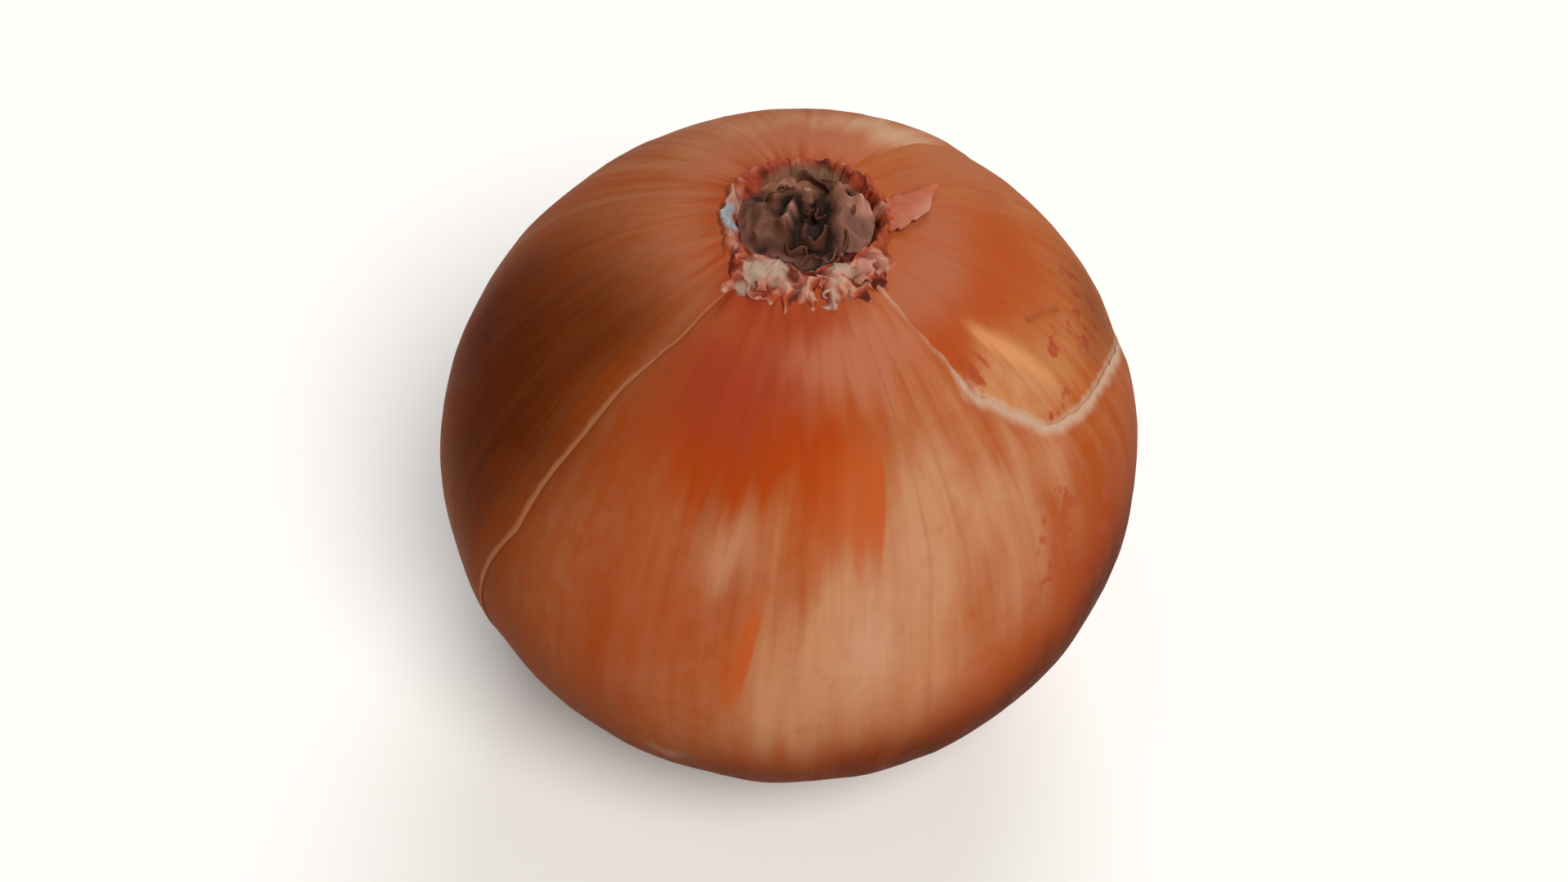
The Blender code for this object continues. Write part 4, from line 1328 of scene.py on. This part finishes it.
# %% [markdown]
# ## The root plate
#
# Under the bulb a corky disc carries the stubs of the roots, trimmed and dried. The disc is made of rings as
# the core is, and the stubs are scattered over its lower side by the same tree as the tatters.

# %% The disc
PLATE_RADIUS, PLATE_TOP, PLATE_UNDER = 6.7 * MM, 2.1 * MM, 1.4 * MM
turn, share = np.meshgrid(np.linspace(0, 360, 120, endpoint=False), np.linspace(1, 0, 26))
x = PLATE_RADIUS * share * np.sin(np.radians(turn))
y = -PLATE_RADIUS * share * np.cos(np.radians(turn))
flat = np.stack([x, y, 0 * x], axis=-1)
cork = 0.25 * MM * hills(flat, 1.5 * MM, 4)
under = np.stack([x, y, PLATE_UNDER + cork + 0.3 * MM * share**4], axis=-1)
upper = np.stack([x, y, PLATE_TOP + 0 * x], axis=-1)[::-1]
plate = grid_piece("root_plate_disc", np.concatenate([upper, under]), wrap=True)
rise = np.concatenate([0 * x, 0.5 + 0.9 * cork / MM])
room = np.concatenate([0 * x, smooth((0.94 - share) / 0.05)])
keep_values(plate, rise=rise, room=room)
weld(plate)
print("root plate is", round(2 * PLATE_RADIUS / MM, 1), "mm across")

# %% The stubs
STUB_RADIUS, STUB_LENGTH = 0.3 * MM, 0.95 * MM


def root_stub(index):
    """A short tube that narrows and bends a little, cut off square."""
    angle, along = np.meshgrid(np.linspace(0, 2 * math.pi, 7, endpoint=False), np.linspace(-0.4, 1, 6))
    radius = STUB_RADIUS * (1 - 0.3 * along)
    rows = [(0 * radius[:1], along[:1]), (radius, along), (0 * radius[-1:], along[-1:])]
    radius = np.concatenate([row[0] for row in rows])
    along = np.concatenate([row[1] for row in rows])
    angle = np.broadcast_to(angle[:1], radius.shape)
    bend = (0.1 + 0.12 * index) * MM * along**2
    points = np.stack([radius * np.cos(angle) + bend, radius * np.sin(angle), STUB_LENGTH * along], axis=-1)
    stub = grid_piece(f"root_stub_{index}", points, wrap=True)
    keep_values(stub, rise=0.45 + 0.4 * along)
    return weld(stub, 0.002 * MM)


# cork is matt, and pale on its crumbs
cork_finish = tissue_finish("corky root plate, dull", "5a4026", "8f6d45", "b59a70", 0.85)
stubs = placed("root_stubs", plate.data.copy())
shelf = shelf_of("root shapes", [root_stub(index) for index in range(3)])
roots_tree = scatter_tree("roots", shelf, cork_finish)
run_tree(stubs, roots_tree, Density=9.0e5, Smallest=0.75, Largest=1.0, Seed=12)
clear_shelf(shelf)
hand_in(plate, "root_plate", cork_finish)
hand_in(stubs, "root_plate", cork_finish)

# %% [markdown]
# ## Floor, light and camera
#
# The onion stands on a plain pale floor. A large soft lamp from the upper right models its form, a weaker
# one from behind lights the top of the shoulder, and a dim even sky keeps the left side readable. The camera
# looks down at 50 degrees through a 50 mm lens.


# %% Floor and lamps
SKY_POWER = 0.17
# matt paint shows no reflection, only the soft shadow
floor_finish, tree, shader = new_finish("matt white paint", 0.9, 1.45)
shader.inputs["Base Color"].default_value = colour("f8f8f7")
bpy.ops.mesh.primitive_plane_add(size=40)
floor = bpy.context.object
floor.name = "floor"
floor.data.materials.append(floor_finish)


def soft_lamp(name, azimuth, elevation, spread, power, tone):
    """A far, broad lamp that shines from this direction and looks this many degrees wide."""
    lamp = bpy.data.lights.new(name, "SUN")
    lamp.energy = power
    lamp.angle = math.radians(spread)
    lamp.color = colour(tone)[:3]
    placed(name, lamp).rotation_euler = (math.radians(90 - elevation), 0, math.radians(azimuth))


soft_lamp("key", azimuth=28, elevation=54, spread=34, power=2.75, tone="fffaf4")
soft_lamp("back", azimuth=165, elevation=42, spread=34, power=1.1, tone="ffffff")
world = bpy.data.worlds.new("even sky")
world.use_nodes = True
sky = world.node_tree.nodes["Background"]
sky.inputs["Color"].default_value = colour("ffffff")
sky.inputs["Strength"].default_value = SKY_POWER
bpy.context.scene.world = world

# %% Camera
ELEVATION, CAMERA_AWAY, AIM_LEFT = math.radians(50), 267.2 * MM, 0.5 * MM
FOCAL_LENGTH, SENSOR_WIDTH = 50, 36  # in mm
lens = bpy.data.cameras.new("camera")
lens.lens, lens.sensor_width = FOCAL_LENGTH, SENSOR_WIDTH
camera = placed("camera", lens)
camera.location = (-AIM_LEFT, -CAMERA_AWAY * math.cos(ELEVATION), MIDDLE + CAMERA_AWAY * math.sin(ELEVATION))
camera.rotation_euler = (math.pi / 2 - ELEVATION, 0, 0)
bpy.context.scene.camera = camera
bpy.context.scene.view_settings.view_transform = "Standard"
